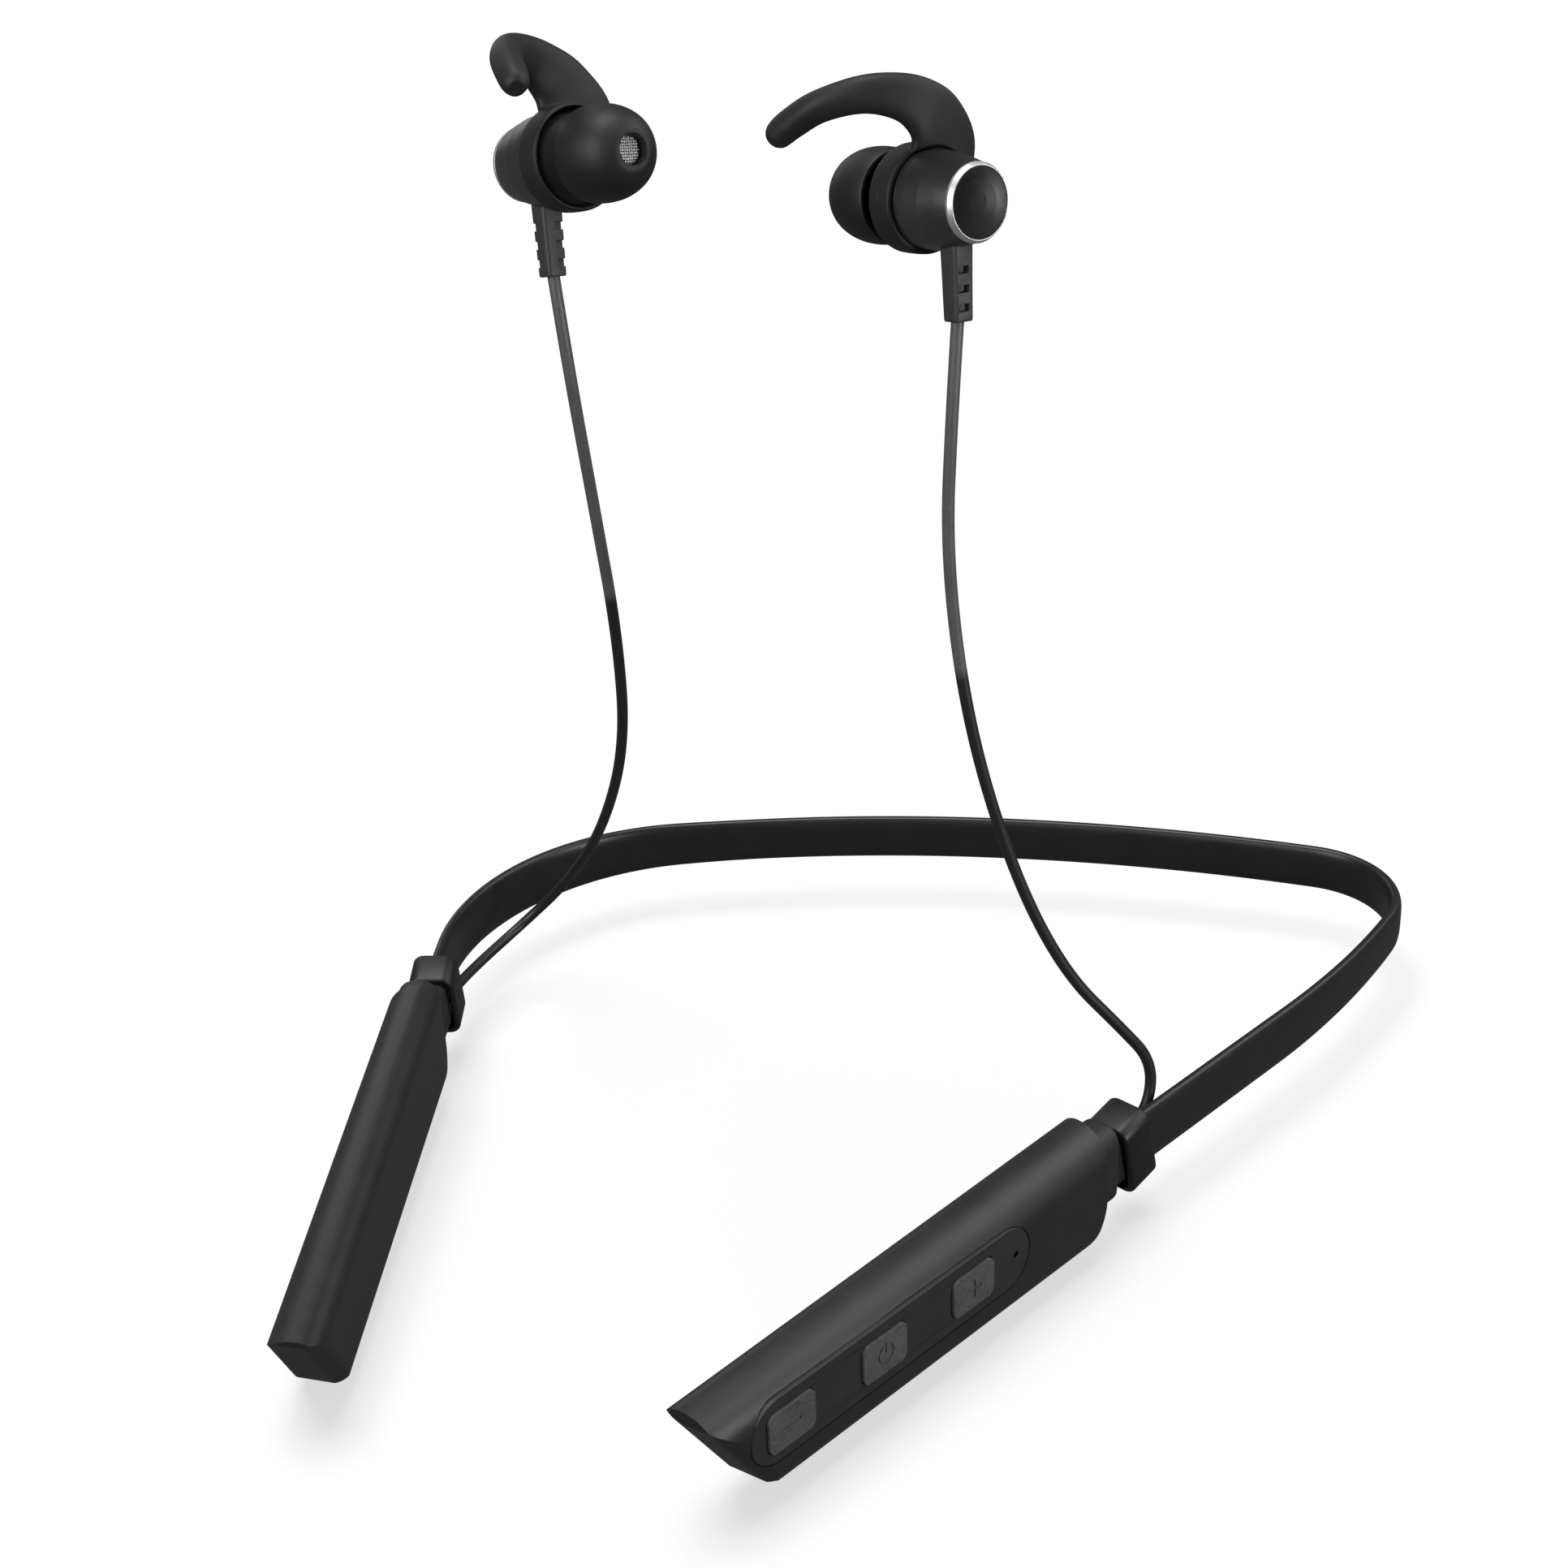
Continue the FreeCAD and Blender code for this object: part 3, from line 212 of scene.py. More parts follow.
HIDDEN = {
    "core": surface("spring_steel", gray(0.45), 0.3, metal=1.0, bump=0.1),
    "magnet": surface("nickel_magnet", gray(0.5), 0.25, metal=1.0, bump=0.08),
    "driver": surface("driver_can", gray(0.4), 0.35, metal=1.0, bump=0.1),
    "tact_switches": surface("switch_can", gray(0.55), 0.3, metal=1.0, bump=0.1),
    "circuit_board": surface("solder_mask", (0.01, 0.09, 0.035), 0.35, grain=900, bump=0.3, vary=0.3),
    "board_screws": surface("screw_steel", gray(0.5), 0.28, metal=1.0, bump=0.12),
    "bluetooth_chip": surface("chip_epoxy", gray(0.015), 0.5, grain=4000, bump=0.4),
    "microphone": surface("microphone_can", gray(0.6), 0.3, metal=1.0, bump=0.1),
    "usb_connector": surface("connector_shell", gray(0.6), 0.25, metal=1.0, bump=0.1),
    "status_led": surface("light_guide", gray(0.7), 0.2, grain=900, bump=0.1, vary=0.05),
    "battery": surface("cell_foil", gray(0.6), 0.3, metal=1.0, grain=600, bump=0.5, depth=0.05),
    "battery_board": surface("battery_mask", (0.01, 0.08, 0.03), 0.35, grain=900, bump=0.3),
    "battery_pad": surface("foam_pad", gray(0.05), 0.8, grain=1200, bump=0.9, depth=0.1, vary=0.3),
}


# ---- mesh helpers --------------------------------------------------------------------------

def shade(mesh, smooth_angle):
    mesh.polygons.foreach_set("use_smooth", [True] * len(mesh.polygons))
    mesh.set_sharp_from_angle(angle=math.radians(smooth_angle))


def finish_mesh(name, mesh_data, material, smooth_angle=35.0):
    mesh = bpy.data.meshes.new(name)
    mesh_data.to_mesh(mesh)
    mesh_data.free()
    mesh.materials.append(material)
    piece = bpy.data.objects.new(name, mesh)
    bpy.context.scene.collection.objects.link(piece)
    shade(mesh, smooth_angle)
    return piece


def loops_piece(name, loops, material, closed=False, smooth_angle=35.0):
    """A closed mesh through loops of points; the ends are capped, or joined to each other if closed."""
    data = bmesh.new()
    rings = [[data.verts.new(Vector(p) * MM) for p in loop] for loop in loops]
    pairs = list(zip(rings, rings[1:]))
    if closed:
        pairs.append((rings[-1], rings[0]))
    for first, second in pairs:
        for i in range(len(first)):
            j = (i + 1) % len(first)
            data.faces.new((first[i], first[j], second[j], second[i]))
    if not closed:
        data.faces.new(rings[0][::-1])
        data.faces.new(rings[-1])
    bmesh.ops.recalc_face_normals(data, faces=data.faces)
    return finish_mesh(name, data, material, smooth_angle)


def rounded_profile(corners, steps=5):
    """Points of an open or closed line with its corners (u, v, radius) rounded."""
    points = []
    count = len(corners)
    for i, (u, v, radius) in enumerate(corners):
        here = Vector((u, v))
        if radius <= 0:
            points.append(here)
            continue
        before = Vector(corners[i - 1][:2])
        after = Vector(corners[(i + 1) % count][:2])
        back = (before - here).normalized()
        ahead = (after - here).normalized()
        half = back.angle(ahead) / 2
        reach = min(radius / math.tan(half), 0.49 * (before - here).length, 0.49 * (after - here).length)
        fitted = reach * math.tan(half)
        centre = here + (back + ahead).normalized() * (fitted / math.sin(half))
        first = here + back * reach - centre
        last = here + ahead * reach - centre
        sweep = first.angle_signed(last)
        for k in range(steps + 1):
            turned = first.copy()
            turned.rotate(Matrix.Rotation(-sweep * k / steps, 2))
            points.append(centre + turned)
    return points


def lathe(name, profile, place, material, steps=6, segments=96, smooth_angle=35.0):
    """A turned piece about x from a closed profile of (x, radius, fillet), with UVs along the profile."""
    line = rounded_profile(profile, steps)
    data = bmesh.new()
    uv = data.loops.layers.uv.new("UVMap")
    lengths = [0.0]
    for a, b in zip(line, line[1:] + line[:1]):
        lengths.append(lengths[-1] + (b - a).length)
    rings = []
    for x, r in line:
        if r < 1e-6:
            rings.append([data.verts.new(place(x, 0, 0))] * segments)
        else:
            rings.append([data.verts.new(place(x, r * math.cos(t), r * math.sin(t)))
                          for t in (2 * math.pi * k / segments for k in range(segments))])
    count = len(rings)
    for i in range(count):
        first, second = rings[i], rings[(i + 1) % count]
        for k in range(segments):
            j = (k + 1) % segments
            corners = [
                (first[k], k, i), (first[j], k + 1, i), (second[j], k + 1, i + 1), (second[k], k, i + 1),
            ]
            unique = []
            for corner in corners:
                if all(corner[0] is not other[0] for other in unique):
                    unique.append(corner)
            if len(unique) < 3:
                continue
            face = data.faces.new([corner[0] for corner in unique])
            for loop, (_, around, along) in zip(face.loops, unique):
                loop[uv].uv = (around / segments, lengths[along])
    bmesh.ops.recalc_face_normals(data, faces=data.faces)
    return finish_mesh(name, data, material, smooth_angle)


def round_rect(u_range, v_range, radius, steps=6):
    (u0, u1), (v0, v1) = u_range, v_range
    return rounded_profile(((u0, v0, radius), (u1, v0, radius), (u1, v1, radius), (u0, v1, radius)), steps)


def inset_rect(u_range, v_range, radius, inset, steps=6):
    (u0, u1), (v0, v1) = u_range, v_range
    return round_rect((u0 + inset, u1 - inset), (v0 + inset, v1 - inset), max(radius - inset, 0.05), steps)


def soft_ends(low, high, fillet, steps=4):
    """Stations along a length as (position, inset), rounded over at both ends."""
    start = []
    for k in range(steps, -1, -1):
        angle = math.pi / 2 * k / steps
        start.append((low + fillet * (1 - math.sin(angle)), fillet * (1 - math.cos(angle))))
    end = [(high - (position - low), inset) for position, inset in start]
    return start + end[::-1]


def combine(piece, other, operation):
    change = piece.modifiers.new(operation.lower(), "BOOLEAN")
    change.operation = operation
    change.object = other
    change.solver = "EXACT"


def applied(piece):
    """The piece with its modifiers made real."""
    graph = bpy.context.evaluated_depsgraph_get()
    mesh = bpy.data.meshes.new_from_object(piece.evaluated_get(graph))
    piece.modifiers.clear()
    piece.data = mesh
    return piece


def smooth_line(points, steps):
    """Catmull-Rom points through tuples of numbers."""
    result = []
    count = len(points)

    def between(a, b, c, d, t):
        square = (2 * a - 5 * b + 4 * c - d) * t * t
        cube = (3 * b - a - 3 * c + d) * t ** 3
        return 0.5 * (2 * b + (c - a) * t + square + cube)

    for i in range(count - 1):
        p0 = points[max(i - 1, 0)]
        p1, p2 = points[i], points[i + 1]
        p3 = points[min(i + 2, count - 1)]
        for k in range(steps):
            result.append(tuple(between(a, b, c, d, k / steps) for a, b, c, d in zip(p0, p1, p2, p3)))
    result.append(tuple(points[-1]))
    return result


# ---- places --------------------------------------------------------------------------------

def heading_vector(angle):
    return Vector((math.cos(angle), math.sin(angle), 0))


def band_spans(side):
    skew = math.radians(BAND_SKEW)
    point = Vector((-math.sin(skew), math.cos(skew), 0)) * (BAND_THICK / 2)
    heading = skew if side == RIGHT else math.pi + skew
    spans = []
    for radius, turn in BAND_ARCS[side]:
        angle = math.radians(turn)
        spans.append((radius * angle, radius, point, heading))
        centre = point + heading_vector(heading - side * math.pi / 2) * radius
        heading -= side * angle
        point = centre + heading_vector(heading + side * math.pi / 2) * radius
    spans.append((BAND_STRAIGHT[side], None, point, heading))
    return spans


def band_frame(side, distance):
    """Point, heading and outward direction of the band's centreline."""
    for length, radius, point, heading in band_spans(side):
        if distance <= length or radius is None:
            break
        distance -= length
    if radius is None:
        return point + heading_vector(heading) * distance, heading_vector(heading), heading_vector(
            heading + side * math.pi / 2)
    turned = heading - side * distance / radius
    centre = point + heading_vector(heading - side * math.pi / 2) * radius
    outward = heading_vector(turned + side * math.pi / 2)
    return centre + outward * radius, heading_vector(turned), outward


def band_length(side):
    return sum(length for length, *_ in band_spans(side))


def arm_place(side):
    """A function from the housing's own axes in mm to the frame in mm."""
    place, forward, outward = band_frame(side, band_length(side))
    pitch = math.radians(HOUSING_PITCH[side])

    def at(x, y, z):
        along = PITCH_X + (x - PITCH_X) * math.cos(pitch) + z * math.sin(pitch)
        high = z * math.cos(pitch) - (x - PITCH_X) * math.sin(pitch)
        return place + forward * along + outward * y + Vector((0, 0, high))

    return at


def bud_place(side):
    """A function from the earbud's own axes in mm to the frame in mm."""
    heading = math.radians(BUD_HEADING[side])
    rise = math.radians(BUD_RISE[side])
    axis = Vector((math.cos(heading) * math.cos(rise), math.sin(heading) * math.cos(rise), math.sin(rise)))
    up = Vector((-math.cos(heading) * math.sin(rise), -math.sin(heading) * math.sin(rise), math.cos(rise)))
    forward = up.cross(axis) * side
    roll = math.radians(BUD_ROLL[side])
    rolled_forward = forward * math.cos(roll) + up * math.sin(roll)
    rolled_up = up * math.cos(roll) - forward * math.sin(roll)
    back = BUD_BACK[side]

    def at(x, y, z):
        return back + axis * x + rolled_forward * y + rolled_up * z

    return at


def metres(place):
    return lambda x, y, z: place(x, y, z) * MM


# ---- camera and cords ----------------------------------------------------------------------

CAMERA_LENS = 56.41
CAMERA_AZIMUTH = math.radians(24.98)
CAMERA_ELEVATION = math.radians(26.96)
CAMERA_ROLL = math.radians(2.17)
CAMERA_DISTANCE = 0.35073
CAMERA_TARGET = Vector((0.00368, -0.08895, 0.05476))


def make_camera():
    a, e, r = CAMERA_AZIMUTH, CAMERA_ELEVATION, CAMERA_ROLL
    back = Vector((math.sin(a) * math.cos(e), -math.cos(a) * math.cos(e), math.sin(e)))
    level = Vector((math.cos(a), math.sin(a), 0))
    above = back.cross(level)
    right = level * math.cos(r) - above * math.sin(r)
    up = level * math.sin(r) + above * math.cos(r)
    camera = bpy.data.objects.new("camera", bpy.data.cameras.new("camera"))
    bpy.context.scene.collection.objects.link(camera)
    camera.data.lens = CAMERA_LENS
    camera.data.sensor_width = 36.0
    camera.data.clip_start = 0.01
    camera.data.clip_end = 20.0
    turn = Matrix((right, up, back)).transposed().to_4x4()
    camera.matrix_world = Matrix.Translation(CAMERA_TARGET + back * CAMERA_DISTANCE) @ turn
    bpy.context.scene.camera = camera


def make_cord(side):
    name = SIDE_NAMES[side]
    curve = bpy.data.curves.new(f"{name}_cord_line", "CURVE")
    curve.dimensions = "3D"
    curve.bevel_depth = CORD_R * MM
    curve.bevel_resolution = 8
    curve.resolution_u = 24
    curve.use_fill_caps = True
    spline = curve.splines.new("NURBS")
    points = CORD_POINTS[side]
    spline.points.add(len(points) - 1)
    for control, point in zip(spline.points, points):
        control.co = (*(Vector(point) * MM), 1.0)
    spline.order_u = 3
    spline.use_endpoint_u = True
    curve.materials.append(CORD)
    cord = bpy.data.objects.new(f"{name}_cord_skin", curve)
    bpy.context.scene.collection.objects.link(cord)
    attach(cord, f"{name}_arm")
    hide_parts(f"{name}_cord")


# ---- neckband ------------------------------------------------------------------------------

BAND_FLARE = 0.18  # how much taller the band is beside the arms than at the nape
FLARE_GROWS = (100, 45)  # distances from the band's end over which it grows taller
FLARE_ENDS = (9.6, 13)  # distances from its end over which it is drawn in again, under the ring
BEND_HALF = 11  # half the length over which the band bends when an arm opens
BAND_POINTS = 64
BAND_STEP = 1.2


def signed_power(value, power):
    return math.copysign(abs(value) ** power, value)


def smooth_step(value, start, end):
    t = min(max((value - start) / (end - start), 0), 1)
    return t * t * (3 - 2 * t)


def make_band_skin(side):
    """The silicone skin of one half of the band."""
    name = SIDE_NAMES[side]
    half_thick = BAND_THICK / 2
    half_tall = BAND_TALL / 2
    section = []
    for k in range(BAND_POINTS):
        angle = 2 * math.pi * k / BAND_POINTS
        section.append((half_thick * signed_power(math.cos(angle), 0.8),
                        half_tall * signed_power(math.sin(angle), 0.5)))
    length = band_length(side)
    count = round(length / BAND_STEP)
    loops = []
    for i in range(count + 1):
        to_end = length * (1 - i / count)
        place, _, outward = band_frame(side, length - to_end)
        taller = 1 + BAND_FLARE * smooth_step(to_end, *FLARE_GROWS) * smooth_step(to_end, *FLARE_ENDS)
        loops.append([place + outward * u + Vector((0, 0, v * taller)) for u, v in section])
    skin = loops_piece(f"{name}_band_skin", loops, SILICONE)
    start = band_frame(side, FLEX_AT[side] - BEND_HALF)[0]
    end = band_frame(side, FLEX_AT[side] + BEND_HALF)[0]
    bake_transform(skin)
    nodes = [f"{name}_band", "band_middle"] if side == RIGHT else [f"{name}_band"]
    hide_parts(*nodes)


STUB_FORM = ((-3.3, 3.3), (-5.2, 8.0), 2.6)  # y range, z range and corner radius
SLEEVE_FORM = ((-3.3, 1.7), (-4.4, 4.6), 1.3)
STUB_X = (-4.2, 2.4)
SLEEVE_X = (-9.5, -4.0)
SLEEVE_STOP = -4.3  # the sleeve is drawn up to here, just behind the stub


def make_boot(side):
    """Rubber stub and thinner sleeve behind the housing."""
    name = SIDE_NAMES[side]
    at = arm_place(side)
    stations = [(x, SLEEVE_FORM, inset) for x, inset in soft_ends(*SLEEVE_X, 0.35) if x <= SLEEVE_STOP]
    stations += [(x, STUB_FORM, inset) for x, inset in soft_ends(*STUB_X, 0.7)]
    loops = [[at(x, u, v) for u, v in inset_rect(*form, inset, 7)] for x, form, inset in stations]
    boot = loops_piece(f"{name}_boot_skin", loops, BOOT, smooth_angle=50)
    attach(boot, f"{name}_arm")
    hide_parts(f"{name}_boot")


RING_WIDE = 6.0
RING_WALL = 1.0
RING_GAP = 0.3
RING_CROWN = 0.12
RING_TILT = math.radians(13.0)
RING_AT = {RIGHT: -10.2, LEFT: -11.8}


def make_keeper_ring(side):
    """Loose rubber ring, crowned across its width."""
    name = SIDE_NAMES[side]
    at = arm_place(side)
    (sleeve_in, sleeve_out), (sleeve_low, sleeve_high), _ = SLEEVE_FORM
    centre = (sleeve_low + sleeve_high) / 2
    tall = sleeve_high - sleeve_low
    hole_tall = (tall + RING_WIDE * math.sin(RING_TILT)) / math.cos(RING_TILT) + RING_GAP
    hole_y = (sleeve_in - RING_GAP, sleeve_out + RING_GAP)
    hole = (hole_y, (-hole_tall / 2, hole_tall / 2), 1.6)
    rim_z = hole_tall / 2 + RING_WALL
    rim = ((hole_y[0] - RING_WALL, hole_y[1] + RING_WALL), (-rim_z, rim_z), 2.1)
    half = RING_WIDE / 2
    outer = [(x, inset + RING_CROWN * (x / half) ** 2) for x, inset in soft_ends(-half, half, 0.55, 5)]
    inner = [(x, -inset * 0.5) for x, inset in soft_ends(-half, half, 0.3, 3)][::-1]
    loops = []
    for form, line in ((rim, outer), (hole, inner)):
        for x, inset in line:
            section = inset_rect(*form, inset, 8)
            loops.append([
                at(RING_AT[side] + x * math.cos(RING_TILT) + v * math.sin(RING_TILT), u,
                   centre + v * math.cos(RING_TILT) - x * math.sin(RING_TILT)) for u, v in section
            ])
    ring = loops_piece(f"{name}_ring_skin", loops, RING, closed=True, smooth_angle=50)
    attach(ring, f"{name}_ring")
    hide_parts(f"{name}_keeper_ring")


WELD_GAP = 0.002
EASED_ANGLE = math.radians(28.0)  # edges sharper than this are eased


def ease_edges(piece, name, width, angle):
    bevel = piece.modifiers.new(name, "BEVEL")
    bevel.width = width * MM
    bevel.segments = 3
    bevel.limit_method = "ANGLE"
    bevel.angle_limit = angle
    return bevel


def soften(node, material, width=0):
    """Keeps a CAD node's shape, with a finish of its own and its sharp edges eased by the width."""
    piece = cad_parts[node]
    for slot in piece.material_slots:
        slot.material = material
    if width:
        weld = piece.modifiers.new("weld", "WELD")
        weld.merge_threshold = WELD_GAP * MM
        ease_edges(piece, "bevel", width, EASED_ANGLE).harden_normals = True


# ---- earbuds -------------------------------------------------------------------------------

TIP_LINE = (  # outside of the ear tip from its skirt to its lip, as (x, radius)
    (16.4, 5.75), (16.5, 5.95), (17.4, 6.15), (18.6, 6.25), (20.0, 6.22), (21.4, 6.05), (22.8, 5.68),
    (24.0, 5.15), (25.0, 4.4), (25.7, 3.6), (26.15, 2.9), (26.3, 2.45),
)
TIP_INSIDE = (  # lip, bore, stem and hollow skirt, from the front, as (x, radius, fillet)
    (26.2, 2.1, 0), (25.8, 1.98, 0), (23.6, 1.98, 0.5), (22.3, 2.65, 0.1), (17.0, 2.65, 0.1),
    (17.0, 3.45, 0.3), (22.4, 3.45, 0.5), (23.1, 4.1, 0.5), (22.5, 4.9, 0.5), (19.5, 5.5, 0.5),
    (16.4, 5.5, 0.08),
)


def make_ear_tip(side):
    """Turned silicone tip: dome, hollow skirt and the stem that grips the nozzle."""
    name = SIDE_NAMES[side]
    outside = [(x, r, 0) for x, r in smooth_line(TIP_LINE, 4)]
    outline = outside + list(TIP_INSIDE)
    place = metres(bud_place(side))
    tip = lathe(f"{name}_tip_skin", outline, place, EAR, segments=128, smooth_angle=50)
    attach(tip, f"{name}_tip")
    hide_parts(f"{name}_ear_tip")


WING_POINTS = 32
WING_VOXEL = 0.16
WING_RELAX = 7  # rounds of smoothing after the wing and collar are joined
SMOOTHING = 0.1  # what the wing is drawn short by on each side before its surface is smoothed
COLLAR_LINE = (  # as (x, radius, fillet)
    (9.75, 6.06, 0.05), (9.75, 6.9, 0.3), (11.45, 6.98, 0), (11.6, 6.7, 0), (11.75, 6.98, 0),
    (13.6, 6.92, 0.8), (14.1, 6.4, 0.2), (12.65, 6.4, 0.05), (12.65, 6.06, 0.05),
)
BUD_SPACE = (  # what the wing's blade is cut away from, inside the collar, as (x, radius, fillet)
    (2, 0, 0), (2, 6.6, 0), (9.7, 6.6, 0), (9.7, 6.07, 0), (14, 6.07, 0), (14, 0, 0),
)


def wing_loop(station, before, after):
    """Points of a softly squared section of the wing at one station."""
    x, y, z, width, thick = station
    along = Vector(after[:3]) - Vector(before[:3])
    along.normalize()
    across = along.cross(Vector((1, 0, 0))).normalized()
    through = along.cross(across).normalized()
    centre = Vector((COLLAR_X + x, y, z))
    points = []
    for k in range(WING_POINTS):
        angle = 2 * math.pi * k / WING_POINTS
        sideways = signed_power(math.cos(angle), 0.85) * (width / 2 - SMOOTHING)
        deep = signed_power(math.sin(angle), 0.85) * (thick / 2 - SMOOTHING)
        points.append(centre + across * sideways + through * deep)
    return points


def make_wing(side):
    """Silicone wing and its collar, moulded in one."""
    name = SIDE_NAMES[side]
    at = bud_place(side)
    line = smooth_line(WING_STATIONS, 6)
    loops = []
    for i, station in enumerate(line):
        before = line[max(i - 1, 0)]
        after = line[min(i + 1, len(line) - 1)]
        loops.append([at(*p) for p in wing_loop(station, before, after)])
    blade = loops_piece(f"{name}_wing_blade", loops, WING)
    collar = lathe(f"{name}_wing_skin", COLLAR_LINE, metres(at), WING, segments=160)
    keep_out = lathe(f"{name}_wing_cutter", BUD_SPACE, metres(at), WING)
    combine(blade, keep_out, "DIFFERENCE")
    applied(blade)
    bpy.data.objects.remove(keep_out)
    combine(collar, blade, "UNION")
    voxels = collar.modifiers.new("voxels", "REMESH")
    voxels.mode = "VOXEL"
    voxels.voxel_size = WING_VOXEL * MM
    relax = collar.modifiers.new("relax", "SMOOTH")
    relax.iterations = WING_RELAX
    relax.factor = 0.5
    applied(collar)
    bpy.data.objects.remove(blade)
    collar.data.polygons.foreach_set("use_smooth", [True] * len(collar.data.polygons))
    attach(collar, f"{name}_wing")
    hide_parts(f"{name}_wing")


SHELL_LINE = (  # outlines of the turned parts, as (x, radius, fillet)
    (1.0, 4.3, 0), (1.0, 4.98, 0.08), (2.8, 5.42, 2.0), (5.4, 5.98, 2.0), (7.8, 6.2, 2.0),
    (9.2, 6.25, 0.12), (9.2, 5.5, 0.1), (5.5, 5.2, 0), (2.0, 4.3, 0),
)
RIM_LINE = ((0.02, 4.5, 0.05), (0.0, 4.64, 0.08), (0.6, 5.0, 0.14), (0.98, 5.0, 0.05), (0.98, 4.5, 0.03))
DISC_LINE = (
    (0.62, 0.0, 0), (0.56, 1.5, 0.9), (0.4, 3.0, 1.0), (0.12, 4.48, 0.05), (0.95, 4.48, 0.05), (0.95, 0.0, 0),
)
AROUND = 160  # facets round a turned part


def make_metal_parts(side):
    """Turned rear shell, its polished rim and the spun disc in it."""
    name = SIDE_NAMES[side]
    place = metres(bud_place(side))
    shell = lathe(f"{name}_shell_skin", SHELL_LINE, place, SHELL, steps=8, segments=AROUND)
    rim = lathe(f"{name}_rim_skin", RIM_LINE, place, RIM, steps=5, segments=AROUND)
    disc = lathe(f"{name}_disc_skin", DISC_LINE, place, DISC, steps=5, segments=AROUND)
    for piece, node, slot in ((shell, "rear_shell", "shell_metal"), (rim, "rim", "rim_metal"),
                              (disc, "back_disc", "disc_metal")):
        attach(piece, f"{name}_bud")
        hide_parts(f"{name}_{node}")


RELIEF_HEIGHTS = (  # z, half width and corner radius
    (-15.0, 1.3, 0.4), (-14.9, 1.42, 0.5), (-14.7, 1.46, 0.55), (-13.0, 1.5, 0.6), (-9.0, 1.56, 0.6),
    (-6.0, 1.62, 0.6), (-5.4, 1.62, 0.6),
)
RELIEF_REACH = 3.0  # how far the window cutters stand out past the relief
RELIEF_EASE = 0.09
RELIEF_EASED_ANGLE = math.radians(40)
WINDOW_TALL = 1.0
WINDOW_FLOOR = 0.75
WINDOW_EDGE = {RIGHT: 1.15, LEFT: 2.0}  # the left relief's windows are open at one edge


def make_relief(side):
    """Tapered strain relief with three windows in each of its two broad faces."""
    name = SIDE_NAMES[side]
    at = bud_place(side)

    def loop(z, half, radius):
        section = round_rect((-half, half), (-half, half), radius, 5)
        return [at(RELIEF_X + u, v, z) for u, v in section]

    body = loops_piece(f"{name}_relief_skin", [loop(*h) for h in RELIEF_HEIGHTS], RELIEF, smooth_angle=40)
    cutters = []
    windows = (
        ((-RELIEF_REACH, -WINDOW_FLOOR), (-0.65, WINDOW_EDGE[side])),
        ((WINDOW_FLOOR, RELIEF_REACH), (-2.0, -0.15)),
    )
    for i, middle in enumerate(WINDOW_Z):
        zs = (middle - WINDOW_TALL / 2, middle + WINDOW_TALL / 2)
        for j, (xs, ys) in enumerate(windows):
            ring = [[at(RELIEF_X + u, v, z) for u, v in round_rect(xs, ys, 0.1, 2)] for z in zs]
            cutter = loops_piece(f"{name}_cutter_{i}_{j}", ring, RELIEF)
            cutters.append(cutter)
            combine(body, cutter, "DIFFERENCE")
    ease_edges(body, "ease", RELIEF_EASE, RELIEF_EASED_ANGLE)
    applied(body)
    for cutter in cutters:
        bpy.data.objects.remove(cutter)
    shade(body.data, 40)
    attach(body, f"{name}_bud")
    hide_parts(f"{name}_strain_relief")


GAUZE_X = 24.75
GAUZE_R = 1.76
WIRE_PITCH = 0.36
WIRE_R = 0.085
WIRE_SIDES = 6
WIRES_EACH_WAY = 5  # on each side of the middle one
SHORTEST_WIRE = 0.3
GAUZE_SLEEVE = (  # thin tube from the nozzle's mouth that carries the gauze, as (x, radius, fillet)
    (21.0, 1.75, 0), (21.0, 1.93, 0), (24.95, 1.93, 0.06), (24.95, 1.78, 0.06),
)


def make_mesh_screen(side):
    """Woven steel gauze across the nozzle, wire by wire, in its own short sleeve."""
    name = SIDE_NAMES[side]
    at = bud_place(side)
    data = bmesh.new()
    for direction in (0, 1):
        for n in range(-WIRES_EACH_WAY, WIRES_EACH_WAY + 1):
            offset = n * WIRE_PITCH
            reach = math.sqrt(max(GAUZE_R ** 2 - offset ** 2, 0))
            if reach < SHORTEST_WIRE:
                continue
            count = max(int(reach * 2 / WIRE_PITCH * 4), 6)
            rings = []
            for k in range(count + 1):
                s = -reach + 2 * reach * k / count
                phase = math.pi * (s / WIRE_PITCH + n + direction)
                lift = GAUZE_X + WIRE_R * 0.9 * math.cos(phase)
                ring = []
                for m in range(WIRE_SIDES):
                    t = 2 * math.pi * m / WIRE_SIDES
                    side_step = offset + WIRE_R * math.cos(t)
                    x = lift + WIRE_R * math.sin(t)
                    y, z = (s, side_step) if direction else (side_step, s)
                    ring.append(data.verts.new(at(x, y, z) * MM))
                rings.append(ring)
            for first, second in zip(rings, rings[1:]):
                for m in range(WIRE_SIDES):
                    j = (m + 1) % WIRE_SIDES
                    data.faces.new((first[m], first[j], second[j], second[m]))
            data.faces.new(rings[0][::-1])
            data.faces.new(rings[-1])
    bmesh.ops.recalc_face_normals(data, faces=data.faces)
    gauze = finish_mesh(f"{name}_gauze", data, WIRE, 80)
    sleeve = lathe(f"{name}_gauze_sleeve", GAUZE_SLEEVE, metres(at), FRONT, segments=64)
    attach(sleeve, f"{name}_bud")
    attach(gauze, f"{name}_bud")
    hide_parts(f"{name}_mesh")


